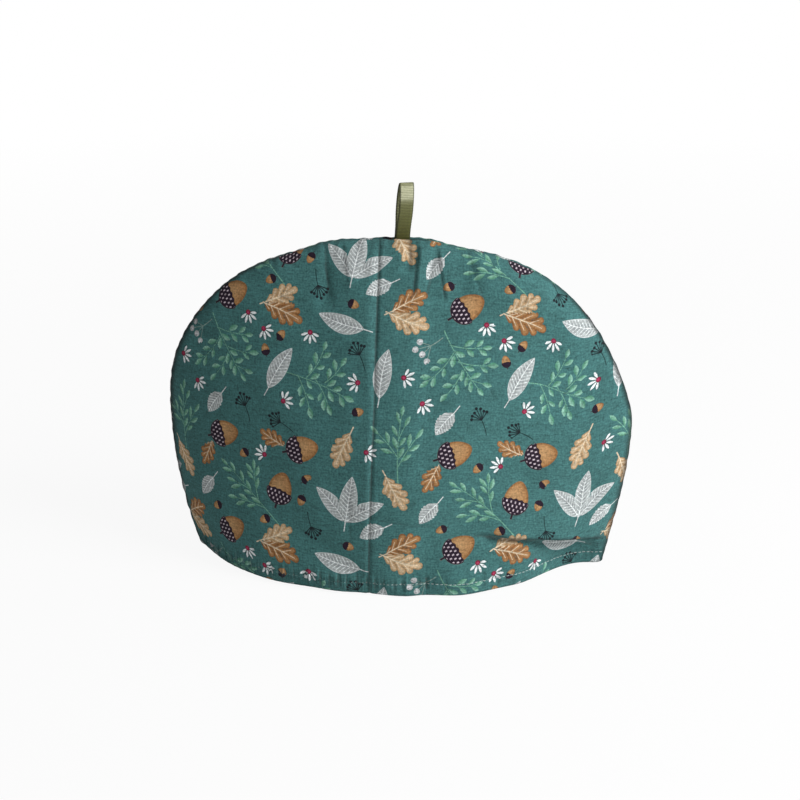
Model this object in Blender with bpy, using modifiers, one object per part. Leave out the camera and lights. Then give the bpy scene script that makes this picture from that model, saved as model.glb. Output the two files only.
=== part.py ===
"""Tea cosy standing open on its hem.

Two padded cloth panels are sewn together along an arch and part at the bottom, where their hems stand on
the table. A ribbon, bent double, is caught in the seam at the top. Metres, +Z up. The seam lies in the
plane y = 0 and the front panel faces -Y. The origin is at the middle of the footprint, on the surface that
the hem stands on.
"""

import math

import bmesh
import bpy
import numpy as np

MM = 0.001

# Driving sizes of the cloth, in metres.
WALL = 5.0 * MM             # thickness of a padded panel
SEAM_GAP = 0.3 * MM         # space between the two panels along the seam
MOUTH_DEPTH = 73.0 * MM     # the hem's greatest distance from the seam's plane
HEM_FALL = 1.5 * MM         # lowest strip of the hem, exactly upright, so that its edge is level
EDGE_START = 1.5 * MM       # strip at the seam that runs straight back to its plane
EDGE_ROUND = 6.5 * MM       # how far the rounded edge stands out beside the seam
EDGE_WIDTH = 8.0 * MM       # width of that rounded edge

# The seam's line seen from the front, from the left end of the hem over the top to the right end.
SEAM_MM = np.array([
    # across, up
    (-155.0, 0.0), (-161.3, 23.0), (-166.3, 48.0), (-169.8, 73.0), (-171.3, 98.0), (-171.2, 122.0),
    (-168.9, 140.0), (-163.8, 157.0), (-154.2, 175.2), (-140.6, 193.0), (-121.0, 211.0), (-95.0, 225.6),
    (-71.2, 234.0), (-51.2, 240.8), (-22.2, 243.9), (7.8, 245.2), (22.8, 244.6), (40.8, 240.4),
    (66.8, 235.6), (95.8, 225.2), (121.0, 208.0), (138.2, 189.4), (153.8, 164.4), (165.2, 138.8),
    (171.3, 117.2), (171.3, 97.0), (169.3, 74.0), (165.5, 49.0), (160.6, 24.0), (156.0, 0.0),
])

# How the cloth falls from the middle of the hem to the seam: depth = 1 - reach ** power, by direction.
FALL = np.array([
    # direction in degrees, from the right end of the hem over the top; power
    (0.0, 1.85), (40.0, 1.4), (90.0, 2.6), (140.0, 1.95), (180.0, 3.3),
])
FOOT_X = -1.3 * MM          # middle of the hem, where those directions start

# Long soft folds: a line seen from the front, how far it stands out (in, if negative) and its half width.
FRONT_FOLDS = [
    # name, x0, z0, x1, z1, out, half width (mm)
    ("pressed crease", -12.0, 246.0, -8.5, -60.0, -1.5, 4.0),
    ("pleat beside the loop", 14.0, 250.0, 15.0, 232.0, -3.0, 4.5),
    ("right pleat ridge", 20.5, 246.0, 22.0, 208.0, 1.6, 4.0),
    ("right pleat hollow", 27.0, 238.0, 27.0, 204.0, -1.4, 4.5),
    ("outer pleat ridge", 36.0, 242.0, 42.0, 206.0, 1.2, 5.0),
    ("left pleat ridge", -33.0, 242.0, -31.0, 212.0, 1.3, 5.0),
    ("left pleat hollow", -49.5, 243.0, -48.0, 196.0, -1.4, 6.0),
    ("crease of the hem fold", 76.0, 41.0, 166.0, 20.0, -3.6, 5.5),
    ("swell over that crease", 88.0, 55.0, 160.0, 36.0, 3.4, 8.5),
    ("hollow over that swell", 98.0, 78.0, 158.0, 62.0, -2.0, 11.0),
    ("hem swell on the left", -36.0, -60.0, -36.0, 24.0, 2.4, 17.0),
    ("hem swell on the right", 58.0, -60.0, 56.0, 30.0, 4.6, 22.0),
]
BACK_FOLDS = [
    # name, x0, z0, x1, z1, out, half width (mm)
    ("pressed crease", -10.0, 246.0, -6.5, -60.0, -1.4, 4.0),
    ("left pleat hollow", -44.0, 243.0, -52.0, 200.0, -1.6, 6.0),
    ("middle pleat hollow", 22.0, 247.0, 26.0, 208.0, -1.8, 5.0),
    ("right pleat ridge", 56.0, 238.0, 62.0, 204.0, 1.3, 6.0),
    ("slack hollow", -118.0, 70.0, -60.0, 48.0, -2.0, 12.0),
]
FOLD_FADE = 0.22            # share of a fold's length over which its far end runs out

# The right end of the hem is pinched nearly flat under a fold that lies across the corner.
PINCH_START, PINCH_FULL = 92.0 * MM, 150.0 * MM
FRONT_PINCH, BACK_PINCH = 0.95, 0.5
PINCH_FOLD = np.array([
    # across, up (mm)
    (60.0, 44.0), (92.0, 36.0), (110.0, 33.0), (126.0, 29.0), (158.0, 19.0),
])
PINCH_STEP = 8.0 * MM       # height over which the fold comes back out
HEM_TUCK = 3.0 * MM         # how far the left of the hem rolls in under the panel
TUCK_NONE, TUCK_FULL = 20.0 * MM, -40.0 * MM    # across: where that starts, and where it is whole
HEM_TURN = 10.0 * MM        # height of the turned hem

# The loop of ribbon.
RIBBON_WIDTH = 10.2 * MM
RIBBON_THICK = 1.0 * MM
LOOP_TOP = 287.0 * MM
LOOP_BOTTOM = 242.0 * MM    # its ends lie between the panels, inside the seam
LOOP_LEG_GAP = 0.3 * MM
LOOP_X = 3.3 * MM           # middle of the ribbon where it leaves the seam
LOOP_LEAN = 3.0 * MM        # its top stands this far to the right of that
LOOP_TURN = math.radians(17.0)      # the loop is turned this far, to face right
TURN_FULL = 0.5             # share of the loop's height by which that turn is reached
LEG_STAGGER = 1.2 * MM      # the back leg is sewn in this far to the left of the front leg

# The loop seen from its edge: distance of each leg from the middle, by share of its height. The ribbon
# bellies out and closes again to a pressed fold.
LOOP_BELLY = np.array([
    # share of the height, half the spread (mm)
    (0.0, 0.65), (0.12, 1.35), (0.3, 2.9), (0.5, 4.2), (0.66, 4.6), (0.8, 4.1), (0.91, 2.9), (0.975, 1.3),
    (1.0, 0.0),
])
SEAT_GAP = 0.3 * MM         # space between ribbon and panels
SEAM_OPEN_FULL, SEAM_OPEN_END = 11.0 * MM, 26.0 * MM    # the seam opens gently around the ribbon
SEAT_STEPS, LOOP_STEPS, RIBBON_STEPS = 2, 36, 4

# How finely the panels are divided: a core of squares, upright lines from its top to the seam, and rows
# that follow the seam round the core's two sides and top.
CREASE_X = -11.5 * MM       # a line of the core lies along the pressed crease
CORE_STEP = 4.5 * MM
CORE_LEFT, CORE_RIGHT = 15, 18      # steps of the core on either side of the crease
CORE_HEIGHT = 125.0 * MM
SIDE_STEPS = 18
SIDE_CROWDING = 0.35        # steps are closer by this share at the hem
TOP_SPREAD = 0.58           # steps widen by this share from the crease to the right shoulder
INNER_ROWS = 8
EDGE_ROWS_MM = (0.0, 1.2, 3.4, 8.0)
SEAM_POINTS = 4001          # points on the seam from which distances are measured


def smooth_line(rows, count):
    """Points evenly spaced along a smooth curve through the rows."""
    steps = np.hypot(*np.diff(rows, axis=0).T)
    at = np.concatenate(([0.0], np.cumsum(steps)))
    slope = np.gradient(rows, at, axis=0)
    fine = np.linspace(0.0, at[-1], 2 * count)
    k = np.clip(np.searchsorted(at, fine, side="right") - 1, 0, len(steps) - 1)
    span = steps[k][:, None]
    t = ((fine - at[k]) / steps[k])[:, None]
    curve = ((1 + 2 * t) * (1 - t) ** 2 * rows[k] + t * (1 - t) ** 2 * span * slope[k]
             + t * t * (3 - 2 * t) * rows[k + 1] + t * t * (t - 1) * span * slope[k + 1])
    run = np.concatenate(([0.0], np.cumsum(np.hypot(*np.diff(curve, axis=0).T))))
    even = np.linspace(0.0, run[-1], count)
    return np.stack([np.interp(even, run, curve[:, 0]), np.interp(even, run, curve[:, 1])], axis=1)


def ease(t):
    """Smooth step from 0 to 1."""
    t = np.clip(t, 0.0, 1.0)
    return t * t * (3.0 - 2.0 * t)


SEAM = smooth_line(SEAM_MM * MM, SEAM_POINTS)
SEAM_ANGLE = np.degrees(np.arctan2(SEAM[:, 1], SEAM[:, 0] - FOOT_X))[::-1]
SEAM_REACH = np.hypot(SEAM[:, 0] - FOOT_X, SEAM[:, 1])[::-1]


def between(x, rows):
    """Value at x of a table of (place, value) rows, with smooth steps from row to row."""
    k = np.clip(np.searchsorted(rows[:, 0], x, side="right") - 1, 0, len(rows) - 2)
    low, high = rows[k], rows[k + 1]
    return low[..., 1] + (high[..., 1] - low[..., 1]) * ease((x - low[..., 0]) / (high[..., 0] - low[..., 0]))


def seam_opening(x):
    """Half the space between the panels at the seam: wider where the ribbon lies between them."""
    around_ribbon = 0.5 * LOOP_LEG_GAP + RIBBON_THICK + SEAT_GAP
    near = 1.0 - ease((np.abs(x - LOOP_X) - SEAM_OPEN_FULL) / (SEAM_OPEN_END - SEAM_OPEN_FULL))
    return 0.5 * SEAM_GAP + (around_ribbon - 0.5 * SEAM_GAP) * near


def fold_relief(x, z, folds):
    """How far the soft folds stand out at each point."""
    relief = np.zeros_like(x)
    for _name, x0, z0, x1, z1, out, half_width in folds:
        start, along = np.array((x0, z0)) * MM, np.array((x1 - x0, z1 - z0)) * MM
        length = math.hypot(*along)
        along /= length
        t = ((x - start[0]) * along[0] + (z - start[1]) * along[1]) / length
        off = (x - start[0]) * along[1] - (z - start[1]) * along[0]
        ends = ease(t / FOLD_FADE + 1.0) * ease((1.0 - t) / FOLD_FADE)
        relief += out * MM * ends * np.exp(-(off / (half_width * MM)) ** 2)
    return relief


def depth(x, z, seam_distance, folds, pinch):
    """Distance of the cloth's outer face from the seam's plane, for points seen from the front."""
    direction = np.degrees(np.arctan2(z, x - FOOT_X))
    reach = np.hypot(x - FOOT_X, z) / np.interp(direction, SEAM_ANGLE, SEAM_REACH)
    power = between(direction, FALL)
    body = (MOUTH_DEPTH - EDGE_ROUND) * (1.0 - np.clip(reach, 0.0, 1.0) ** power)
    inset = np.clip(1.0 - seam_distance / EDGE_WIDTH, 0.0, 1.0)
    edge = EDGE_START + (EDGE_ROUND - EDGE_START) * np.sqrt(1.0 - inset ** 2)
    inward = ease(seam_distance / EDGE_WIDTH)
    rolled = ease((x - TUCK_NONE) / (TUCK_FULL - TUCK_NONE))
    tuck = HEM_TUCK * rolled * np.clip(1.0 - z / HEM_TURN, 0.0, 1.0) ** 2
    fold_line = np.interp(x, PINCH_FOLD[:, 0] * MM, PINCH_FOLD[:, 1] * MM)
    under = 1.0 - ease((z - (fold_line - PINCH_STEP)) / PINCH_STEP)
    held = pinch * ease((x - PINCH_START) / (PINCH_FULL - PINCH_START)) * under
    return body * (1.0 - held) + edge + inward * (fold_relief(x, z, folds) - tuck)


def ring_stations():
    """Matching points on the seam and on the core's outline, from the left of the hem to the right."""
    steps = np.arange(-CORE_LEFT, CORE_RIGHT + 1)
    core_x = CREASE_X + CORE_STEP * steps
    seam_x = CREASE_X + CORE_STEP * steps * (1.0 + TOP_SPREAD * (steps / CORE_RIGHT) ** 2)
    top = len(SEAM) // 4, 3 * len(SEAM) // 4
    places = np.interp(seam_x, SEAM[top[0]:top[1], 0], np.arange(*top))
    side = np.linspace(0.0, 1.0, SIDE_STEPS + 1)
    side = side * (1.0 - SIDE_CROWDING) + SIDE_CROWDING * side ** 2
    end = len(SEAM) - 1
    places = np.concatenate((side[:-1] * places[0], places, end - (end - places[-1]) * side[-2::-1]))
    seam = np.stack([np.interp(places, np.arange(len(SEAM)), SEAM[:, i]) for i in (0, 1)], axis=1)
    height = side * CORE_HEIGHT
    core = np.concatenate((
        np.stack([np.full(SIDE_STEPS, core_x[0]), height[:-1]], axis=1),
        np.stack([core_x, np.full(len(core_x), CORE_HEIGHT)], axis=1),
        np.stack([np.full(SIDE_STEPS, core_x[-1]), height[-2::-1]], axis=1),
    ))
    return seam, core


def panel_grid():
    """Points (x, z), their distance from the seam, and four-sided faces that cover the panel."""
    seam, core = ring_stations()
    reach = np.hypot(*(core - seam).T)
    edge = np.array(EDGE_ROWS_MM) * MM
    points, rows = [], []
    for row in range(len(edge) + INNER_ROWS):
        if row < len(edge):
            inward = np.full(len(seam), edge[row])
        else:
            inward = edge[-1] + (reach - edge[-1]) * (row - len(edge) + 1) / INNER_ROWS
        at = seam + (core - seam) * (inward / reach)[:, None]
        rows.append(range(len(points), len(points) + len(at)))
        points.extend(at.tolist())
    faces = [(rows[r][i], rows[r][i + 1], rows[r + 1][i + 1], rows[r + 1][i])
             for r in range(len(rows) - 1) for i in range(len(seam) - 1)]

    last, across = rows[-1], CORE_LEFT + CORE_RIGHT
    inside = {}
    for up in range(SIDE_STEPS + 1):
        for over in range(across + 1):
            if over == 0:
                inside[up, over] = last[up]
            elif over == across:
                inside[up, over] = last[len(last) - 1 - up]
            elif up == SIDE_STEPS:
                inside[up, over] = last[SIDE_STEPS + over]
            else:
                inside[up, over] = len(points)
                points.append((core[SIDE_STEPS + over][0], core[up][1]))
    faces += [(inside[u + 1, o], inside[u + 1, o + 1], inside[u, o + 1], inside[u, o])
              for u in range(SIDE_STEPS) for o in range(across)]
    points = np.array(points)
    distance = np.array([np.hypot(*(SEAM - p).T).min() for p in points])
    distance[:len(seam)] = 0.0
    return points, distance, faces


def cloth_material(name, colour, roughness):
    material = bpy.data.materials.new(name)
    material.use_nodes = True
    shader = material.node_tree.nodes["Principled BSDF"]
    shader.inputs["Base Color"].default_value = (*colour, 1.0)
    shader.inputs["Roughness"].default_value = roughness
    shader.inputs["Metallic"].default_value = 0.0
    return material


def add_object(name, mesh_data, material, collection):
    mesh = bpy.data.meshes.new(name)
    mesh_data.normal_update()
    mesh_data.to_mesh(mesh)
    mesh_data.free()
    mesh.materials.append(material)
    mesh.shade_smooth()
    thing = bpy.data.objects.new(name, mesh)
    collection.objects.link(thing)
    return thing


def thicken(thing, thickness, offset):
    shell = thing.modifiers.new("Thickness", "SOLIDIFY")
    shell.thickness = thickness
    shell.offset = offset
    shell.use_rim = True
    return shell


def make_panel(name, side, folds, pinch, material, collection):
    """One padded panel: side is -1 at the front and 1 at the back."""
    points, distance, faces = panel_grid()
    out = depth(points[:, 0], points[:, 1], distance, folds, pinch)
    level = points[:, 1] + HEM_FALL
    opening = seam_opening(points[:, 0])
    bm = bmesh.new()
    verts = [bm.verts.new((x, side * (o + gap), z))
             for x, o, gap, z in zip(points[:, 0], out, opening, level)]
    for face in faces:
        corners = [verts[i] for i in face]
        bm.faces.new(corners if side > 0 else corners[::-1])

    # The hem's edge falls straight down to the surface that it stands on.
    hem = [e for e in bm.edges if e.is_boundary and all(abs(v.co.z - HEM_FALL) < 1e-7 for v in e.verts)]
    fallen = bmesh.ops.extrude_edge_only(bm, edges=hem)["geom"]
    for v in (g for g in fallen if isinstance(g, bmesh.types.BMVert)):
        v.co.z = 0.0

    # The edge beside the seam runs straight back to the seam's plane.
    seam = [e for e in bm.edges if e.is_boundary and any(v.co.z > 1e-7 for v in e.verts)]
    turned = bmesh.ops.extrude_edge_only(bm, edges=seam)["geom"]
    for v in (g for g in turned if isinstance(g, bmesh.types.BMVert)):
        v.co.y = side * float(seam_opening(np.array(v.co.x)))

    panel = add_object(name, bm, material, collection)
    thicken(panel, WALL, -1.0)
    return panel


def make_loop(material, collection):
    """A ribbon bent double: its ends lie between the panels, and its two legs belly out and meet in a fold."""
    foot = float(SEAM[:, 1].max()) + HEM_FALL
    height = LOOP_TOP - 0.5 * RIBBON_THICK - foot
    front = np.stack([-LOOP_BELLY[:, 1] * MM, foot + LOOP_BELLY[:, 0] * height], axis=1)
    back = front[-2::-1] * (-1.0, 1.0)
    free = smooth_line(np.concatenate((front, back)), LOOP_STEPS + 1)
    seat = [(free[0][0], z) for z in np.linspace(LOOP_BOTTOM, foot, SEAT_STEPS + 1)[:-1]]
    path = seat + free.tolist() + [(-y, z) for y, z in seat[::-1]]

    bm = bmesh.new()
    across = np.linspace(-0.5, 0.5, RIBBON_STEPS + 1) * RIBBON_WIDTH
    staggers = np.linspace(0.5, -0.5, len(path)) * LEG_STAGGER
    grid = []
    for (y, z), stagger in zip(path, staggers):
        rise = max(0.0, (z - foot) / height)
        turn = LOOP_TURN * float(ease(rise / TURN_FULL))
        middle = LOOP_X + LOOP_LEAN * rise + stagger
        grid.append([bm.verts.new((middle + a * math.cos(turn) - y * math.sin(turn),
                                   a * math.sin(turn) + y * math.cos(turn), z)) for a in across])
    for low, high in zip(grid, grid[1:]):
        for i in range(len(across) - 1):
            bm.faces.new((low[i], low[i + 1], high[i + 1], high[i]))
    loop = add_object("hanging_loop", bm, material, collection)
    thicken(loop, RIBBON_THICK, 0.0)
    return loop


def build():
    for thing in list(bpy.data.objects):
        bpy.data.objects.remove(thing, do_unlink=True)
    collection = bpy.data.collections.new("tea_cosy")
    bpy.context.scene.collection.children.link(collection)
    front_cloth = cloth_material("printed_cotton_front", (0.055, 0.150, 0.142), 0.9)
    back_cloth = cloth_material("printed_cotton_back", (0.050, 0.140, 0.132), 0.9)
    ribbon = cloth_material("olive_grosgrain", (0.130, 0.135, 0.055), 0.55)
    make_panel("front_panel", -1.0, FRONT_FOLDS, FRONT_PINCH, front_cloth, collection)
    make_panel("back_panel", 1.0, BACK_FOLDS, BACK_PINCH, back_cloth, collection)
    make_loop(ribbon, collection)


build()
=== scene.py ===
# %% [markdown]
# # A padded tea cosy, made cell by cell
#
# The real object is two padded panels of printed cotton, sewn together round an arch and left open at the
# bottom, so that it drops over a teapot. A short ribbon, bent double, is caught in the seam at the top.
#
# The solids of the object were made in another script. They hold the true sizes and the main shape. This
# script loads them as a fixed frame, and lays finely modelled cloth where the plain solids are.

# %% Load the frame
import math
from functools import reduce

import bmesh
import bpy
import numpy as np
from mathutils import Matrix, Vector, kdtree


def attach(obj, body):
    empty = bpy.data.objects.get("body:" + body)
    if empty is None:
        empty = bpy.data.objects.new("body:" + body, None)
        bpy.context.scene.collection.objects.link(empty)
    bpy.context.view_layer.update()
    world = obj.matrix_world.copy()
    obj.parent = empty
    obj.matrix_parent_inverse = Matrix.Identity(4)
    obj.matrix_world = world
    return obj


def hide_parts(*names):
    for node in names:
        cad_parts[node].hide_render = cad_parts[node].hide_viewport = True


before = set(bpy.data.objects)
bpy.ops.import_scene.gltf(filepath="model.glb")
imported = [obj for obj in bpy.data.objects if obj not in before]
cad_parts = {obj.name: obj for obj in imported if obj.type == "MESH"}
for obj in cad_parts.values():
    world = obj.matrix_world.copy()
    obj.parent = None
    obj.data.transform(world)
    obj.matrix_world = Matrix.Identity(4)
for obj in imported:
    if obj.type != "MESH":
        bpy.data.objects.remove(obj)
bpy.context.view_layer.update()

MM = 0.001
print("nodes in the frame:", ", ".join(sorted(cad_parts)))

# %% [markdown]
# ## The seam
#
# Seen from the front, the cosy is the arch that its seam draws. On the real one a maker cuts both panels
# round one paper pattern. Here the pattern is a short list of places on the arch, in millimetres across and
# up, with a smooth curve through them. The list is the one that the solids were made from, so the fine
# cloth and the plain solid share one outline. A curve object would do as well, but every later step asks
# how far a spot is from the seam, and that is easy with plain points.

# %% Draw the seam
SEAM_MM = np.array([
    # across, up
    (-155.0, 0.0), (-161.3, 23.0), (-166.3, 48.0), (-169.8, 73.0), (-171.3, 98.0), (-171.2, 122.0),
    (-168.9, 140.0), (-163.8, 157.0), (-154.2, 175.2), (-140.6, 193.0), (-121.0, 211.0), (-95.0, 225.6),
    (-71.2, 234.0), (-51.2, 240.8), (-22.2, 243.9), (7.8, 245.2), (22.8, 244.6), (40.8, 240.4),
    (66.8, 235.6), (95.8, 225.2), (121.0, 208.0), (138.2, 189.4), (153.8, 164.4), (165.2, 138.8),
    (171.3, 117.2), (171.3, 97.0), (169.3, 74.0), (165.5, 49.0), (160.6, 24.0), (156.0, 0.0),
])
SEAM_POINTS = 4001


def run_along(line):
    """How far along a line each of its points lies."""
    return np.concatenate(([0.0], np.cumsum(np.hypot(*np.diff(line, axis=0).T))))


def evenly(line, count):
    """The same line with its points evenly spaced."""
    run = run_along(line)
    even = np.linspace(0.0, run[-1], count)
    return np.stack([np.interp(even, run, line[:, i]) for i in (0, 1)], axis=1)


def square_to(line):
    """Unit steps square to a line, to the left as it runs, at each of its points."""
    along = np.gradient(line, axis=0)
    left = np.stack([-along[:, 1], along[:, 0]], axis=1)
    return left / np.linalg.norm(left, axis=1, keepdims=True)


def smooth_line(rows, count):
    """Points evenly spaced along a smooth curve through the rows."""
    at = run_along(rows)
    slope = np.gradient(rows, at, axis=0)
    fine = np.linspace(0.0, at[-1], 2 * count)
    k = np.clip(np.searchsorted(at, fine, side="right") - 1, 0, len(rows) - 2)
    span = np.diff(at)[k][:, None]
    t = (fine - at[k])[:, None] / span
    curve = ((1 + 2 * t) * (1 - t) ** 2 * rows[k] + t * (1 - t) ** 2 * span * slope[k]
             + t * t * (3 - 2 * t) * rows[k + 1] + t * t * (t - 1) * span * slope[k + 1])
    return evenly(curve, count)


def search_tree(places):
    """A tree that quickly finds the nearest of many places (x, z)."""
    tree = kdtree.KDTree(len(places))
    for number, (x, z) in enumerate(places):
        tree.insert((x, z, 0.0), number)
    tree.balance()
    return tree


SEAM = smooth_line(SEAM_MM * MM, SEAM_POINTS)
SEAM_RUN = run_along(SEAM)
seam_tree = search_tree(SEAM)


def seam_nearest(x, z):
    """For each spot, its distance from the seam and how far along the seam its nearest point lies."""
    found = [seam_tree.find((a, b, 0.0)) for a, b in zip(x.tolist(), z.tolist())]
    return np.array([f[2] for f in found]), SEAM_RUN[[f[1] for f in found]]


print("length of the seam:", round(SEAM_RUN[-1] / MM), "mm")

# %% [markdown]
# ## How the cloth stands out
#
# A padded panel domes out from the seam to the middle of its hem. The rule below gives that depth for any
# spot of the arch: a round body that falls to the seam by a power of the distance, and a rolled edge beside
# the seam.

# %% The body of a panel
WALL = 5.0 * MM             # thickness of a padded panel
MOUTH_DEPTH = 73.0 * MM     # the hem's greatest distance from the seam's plane
HEM_FALL = 1.5 * MM         # the rounded lower edge of the hem
EDGE_START = 1.5 * MM       # depth at which the cloth turns into the seam
EDGE_ROUND = 6.5 * MM       # how far the rolled edge stands out beside the seam
EDGE_WIDTH = 8.0 * MM       # width of that rolled edge
FOOT_X = -1.3 * MM          # middle of the hem, where the directions below start
FALL = np.array([
    # direction in degrees, from the right end of the hem over the top; power
    (0.0, 1.85), (40.0, 1.4), (90.0, 2.6), (140.0, 1.95), (180.0, 3.3),
])
SEAM_ANGLE = np.degrees(np.arctan2(SEAM[:, 1], SEAM[:, 0] - FOOT_X))[::-1]
SEAM_REACH = np.hypot(SEAM[:, 0] - FOOT_X, SEAM[:, 1])[::-1]

# The right end of the hem is pinched nearly flat under a fold that lies across the corner.
PINCH_START, PINCH_FULL = 92.0 * MM, 150.0 * MM
PINCH_FOLD = np.array([
    # across, up (mm)
    (60.0, 44.0), (92.0, 36.0), (110.0, 33.0), (126.0, 29.0), (158.0, 19.0),
])
PINCH_STEP = 8.0 * MM       # height over which the fold comes back out
HEM_TUCK = 3.0 * MM         # how far the left of the hem rolls in under the panel
TUCK_NONE, TUCK_FULL = 20.0 * MM, -40.0 * MM
HEM_TURN = 10.0 * MM        # height of the turned hem


def ease(t):
    """Smooth step from 0 to 1."""
    t = np.clip(t, 0.0, 1.0)
    return t * t * (3.0 - 2.0 * t)


def between(x, rows):
    """Value at x of a table of (place, value) rows, with smooth steps from row to row."""
    k = np.clip(np.searchsorted(rows[:, 0], x, side="right") - 1, 0, len(rows) - 2)
    low, high = rows[k], rows[k + 1]
    return low[..., 1] + (high[..., 1] - low[..., 1]) * ease((x - low[..., 0]) / (high[..., 0] - low[..., 0]))


def body_depth(x, z, seam_distance, pinch):
    """Depth of the smooth body, for spots seen from the front, and how freely the cloth may fold there."""
    direction = np.degrees(np.arctan2(z, x - FOOT_X))
    reach = np.hypot(x - FOOT_X, z) / np.interp(direction, SEAM_ANGLE, SEAM_REACH)
    body = (MOUTH_DEPTH - EDGE_ROUND) * (1.0 - np.clip(reach, 0.0, 1.0) ** between(direction, FALL))
    inset = np.clip(1.0 - seam_distance / EDGE_WIDTH, 0.0, 1.0)
    edge = EDGE_START + (EDGE_ROUND - EDGE_START) * np.sqrt(1.0 - inset ** 2)
    fold_line = np.interp(x, PINCH_FOLD[:, 0] * MM, PINCH_FOLD[:, 1] * MM)
    under = 1.0 - ease((z - (fold_line - PINCH_STEP)) / PINCH_STEP)
    held = pinch * ease((x - PINCH_START) / (PINCH_FULL - PINCH_START)) * under
    rolled = ease((x - TUCK_NONE) / (TUCK_FULL - TUCK_NONE))
    tuck = HEM_TUCK * rolled * np.clip(1.0 - z / HEM_TURN, 0.0, 1.0) ** 2
    free = ease(seam_distance / EDGE_WIDTH)
    return body * (1.0 - held) + edge - free * tuck, free


print("depth of the hem from front to back:", round(2 * MOUTH_DEPTH / MM), "mm")

# %% [markdown]
# ## Folds, wrinkles and the crease
#
# On top of the body lie the long soft folds and the small sharp wrinkles. Each is a row of a short table,
# with the line that it follows, how far it stands out or in, and how wide it is. The pressed crease of the
# front is a step: the cloth on its left stands higher, and a narrow notch runs along the foot. A cloth
# simulation could find folds of its own, but these have known places, so they are listed one by one.
#
# Real folds are so narrow that hardly any light reaches their foot, and the seam sinks in beside its rolled
# edge. A mesh of this fineness can't be so deep, so each spot also gets a share of shade, which the printed
# cotton takes up later.

# %% The folds of each panel
FRONT_FOLDS = [
    # name, x0, z0, x1, z1, out, half width (mm); where there are two widths, each is that of one side
    ("hollow beside the loop", 7.0, 252.0, 9.5, 222.0, -1.2, 4.0, 6.5),
    ("right pleat ridge", 20.5, 246.0, 22.0, 208.0, 0.9, 4.0),
    ("right pleat hollow", 27.0, 238.0, 27.0, 204.0, -0.7, 4.5),
    ("outer pleat ridge", 36.0, 242.0, 42.0, 206.0, 0.7, 5.0),
    ("left pleat ridge", -33.0, 242.0, -31.0, 212.0, 1.3, 5.0),
    ("left pleat hollow", -49.5, 243.0, -48.0, 196.0, -1.4, 6.0),
    ("swell of the right shoulder", 62.0, 226.0, 116.0, 202.0, 3.0, 16.0, 9.0),
    ("lower end of that swell", 104.0, 209.0, 142.0, 164.0, 1.9, 16.0, 9.0),
    ("crease of the hem fold", 76.0, 38.6, 166.0, 18.4, -3.6, 6.0, 1.6),
    ("swell over that crease", 88.0, 38.5, 160.0, 24.6, 2.6, 2.6, 12.0),
    ("roll under that crease", 92.0, 27.6, 162.0, 13.0, 1.9, 5.0, 4.4),
    ("hollow over that swell", 98.0, 78.0, 158.0, 62.0, -2.0, 11.0),
    ("hem swell on the left", -36.0, -60.0, -36.0, 24.0, 2.4, 17.0),
    ("hem swell on the right", 58.0, -60.0, 56.0, 30.0, 4.6, 22.0),
]
FRONT_WRINKLES = [
    # name, x0, z0, x1, z1, out, half width to the left or below, half width to the right or above (mm)
    ("gather beside the loop", 9.6, 251.0, 11.0, 225.0, -2.0, 2.4, 5.0),
    ("line across the gather", 3.1, 233.5, 13.9, 228.0, 0.5, 1.2, 1.2),
    ("sharp pleat", 18.2, 248.0, 16.4, 210.0, 1.5, 1.9, 2.2),
    ("foot of the sharp pleat", 15.8, 248.0, 14.4, 208.0, -0.8, 1.1, 1.0),
    ("lit edge of the gather", 3.4, 246.0, 5.6, 232.0, 0.6, 1.4, 1.2),
    ("slanting groove", 27.4, 232.0, 22.6, 208.0, -1.4, 1.6, 2.4),
    ("outer pleat", 31.4, 237.0, 38.9, 206.0, 1.0, 2.0, 1.4),
    ("foot of the outer pleat", 29.8, 237.0, 37.2, 206.0, -0.8, 1.1, 1.0),
    ("long thin line", 50.8, 238.0, 64.6, 206.0, -0.7, 1.3, 1.2),
    ("short thin line", 68.0, 231.0, 76.0, 219.0, -0.5, 1.3, 1.2),
    ("nick on the right", 52.5, 157.0, 55.5, 143.0, -0.45, 1.2, 1.2),
    ("longer nick", 66.5, 160.0, 72.5, 143.0, -0.5, 1.2, 1.2),
    ("line left of the crease", -37.6, 241.0, -32.0, 216.0, -0.85, 2.4, 1.5),
    ("left pleat", -51.0, 239.0, -45.4, 203.0, -0.75, 1.4, 1.7),
    ("branch of the left pleat", -50.0, 226.0, -41.0, 200.0, -0.45, 1.2, 1.2),
    ("slanting slack", -94.0, 207.0, -54.0, 203.0, -0.5, 1.8, 1.8),
    ("level slack", -6.0, 58.5, 38.0, 51.0, -0.55, 1.6, 1.6),
    ("faint upright line", -27.0, 84.0, -25.5, 30.0, -0.45, 1.5, 1.4),
    ("start of the hem fold", 72.0, 39.0, 92.0, 33.8, -1.0, 3.6, 1.5),
    ("middle of the hem fold", 89.0, 34.4, 119.0, 30.2, -1.2, 4.4, 1.2),
    ("end of the hem fold", 115.0, 30.8, 157.0, 21.0, -1.4, 4.4, 1.1),
    ("line along the hem fold", 108.0, 31.4, 158.0, 20.5, -0.55, 0.9, 0.8),
    ("tuck at the hem", 28.6, 12.0, 28.7, 3.0, -1.1, 0.9, 0.9),
]
CREASE_LINE = np.array([
    # height, place across, step, width of the step, depth of the notch, width of the notch (mm)
    (-60.0, -12.8, 1.4, 3.4, 0.8, 3.0), (20.0, -12.4, 1.8, 3.6, 1.1, 3.4), (61.0, -11.6, 1.9, 3.8, 1.2, 3.6),
    (134.0, -9.6, 2.0, 4.4, 0.9, 2.2), (199.0, -10.3, 3.6, 9.0, 1.3, 2.8), (230.0, -11.3, 2.8, 6.5, 1.3, 3.0),
    (250.0, -12.0, 1.5, 5.0, 0.8, 3.0),
]) * MM
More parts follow.
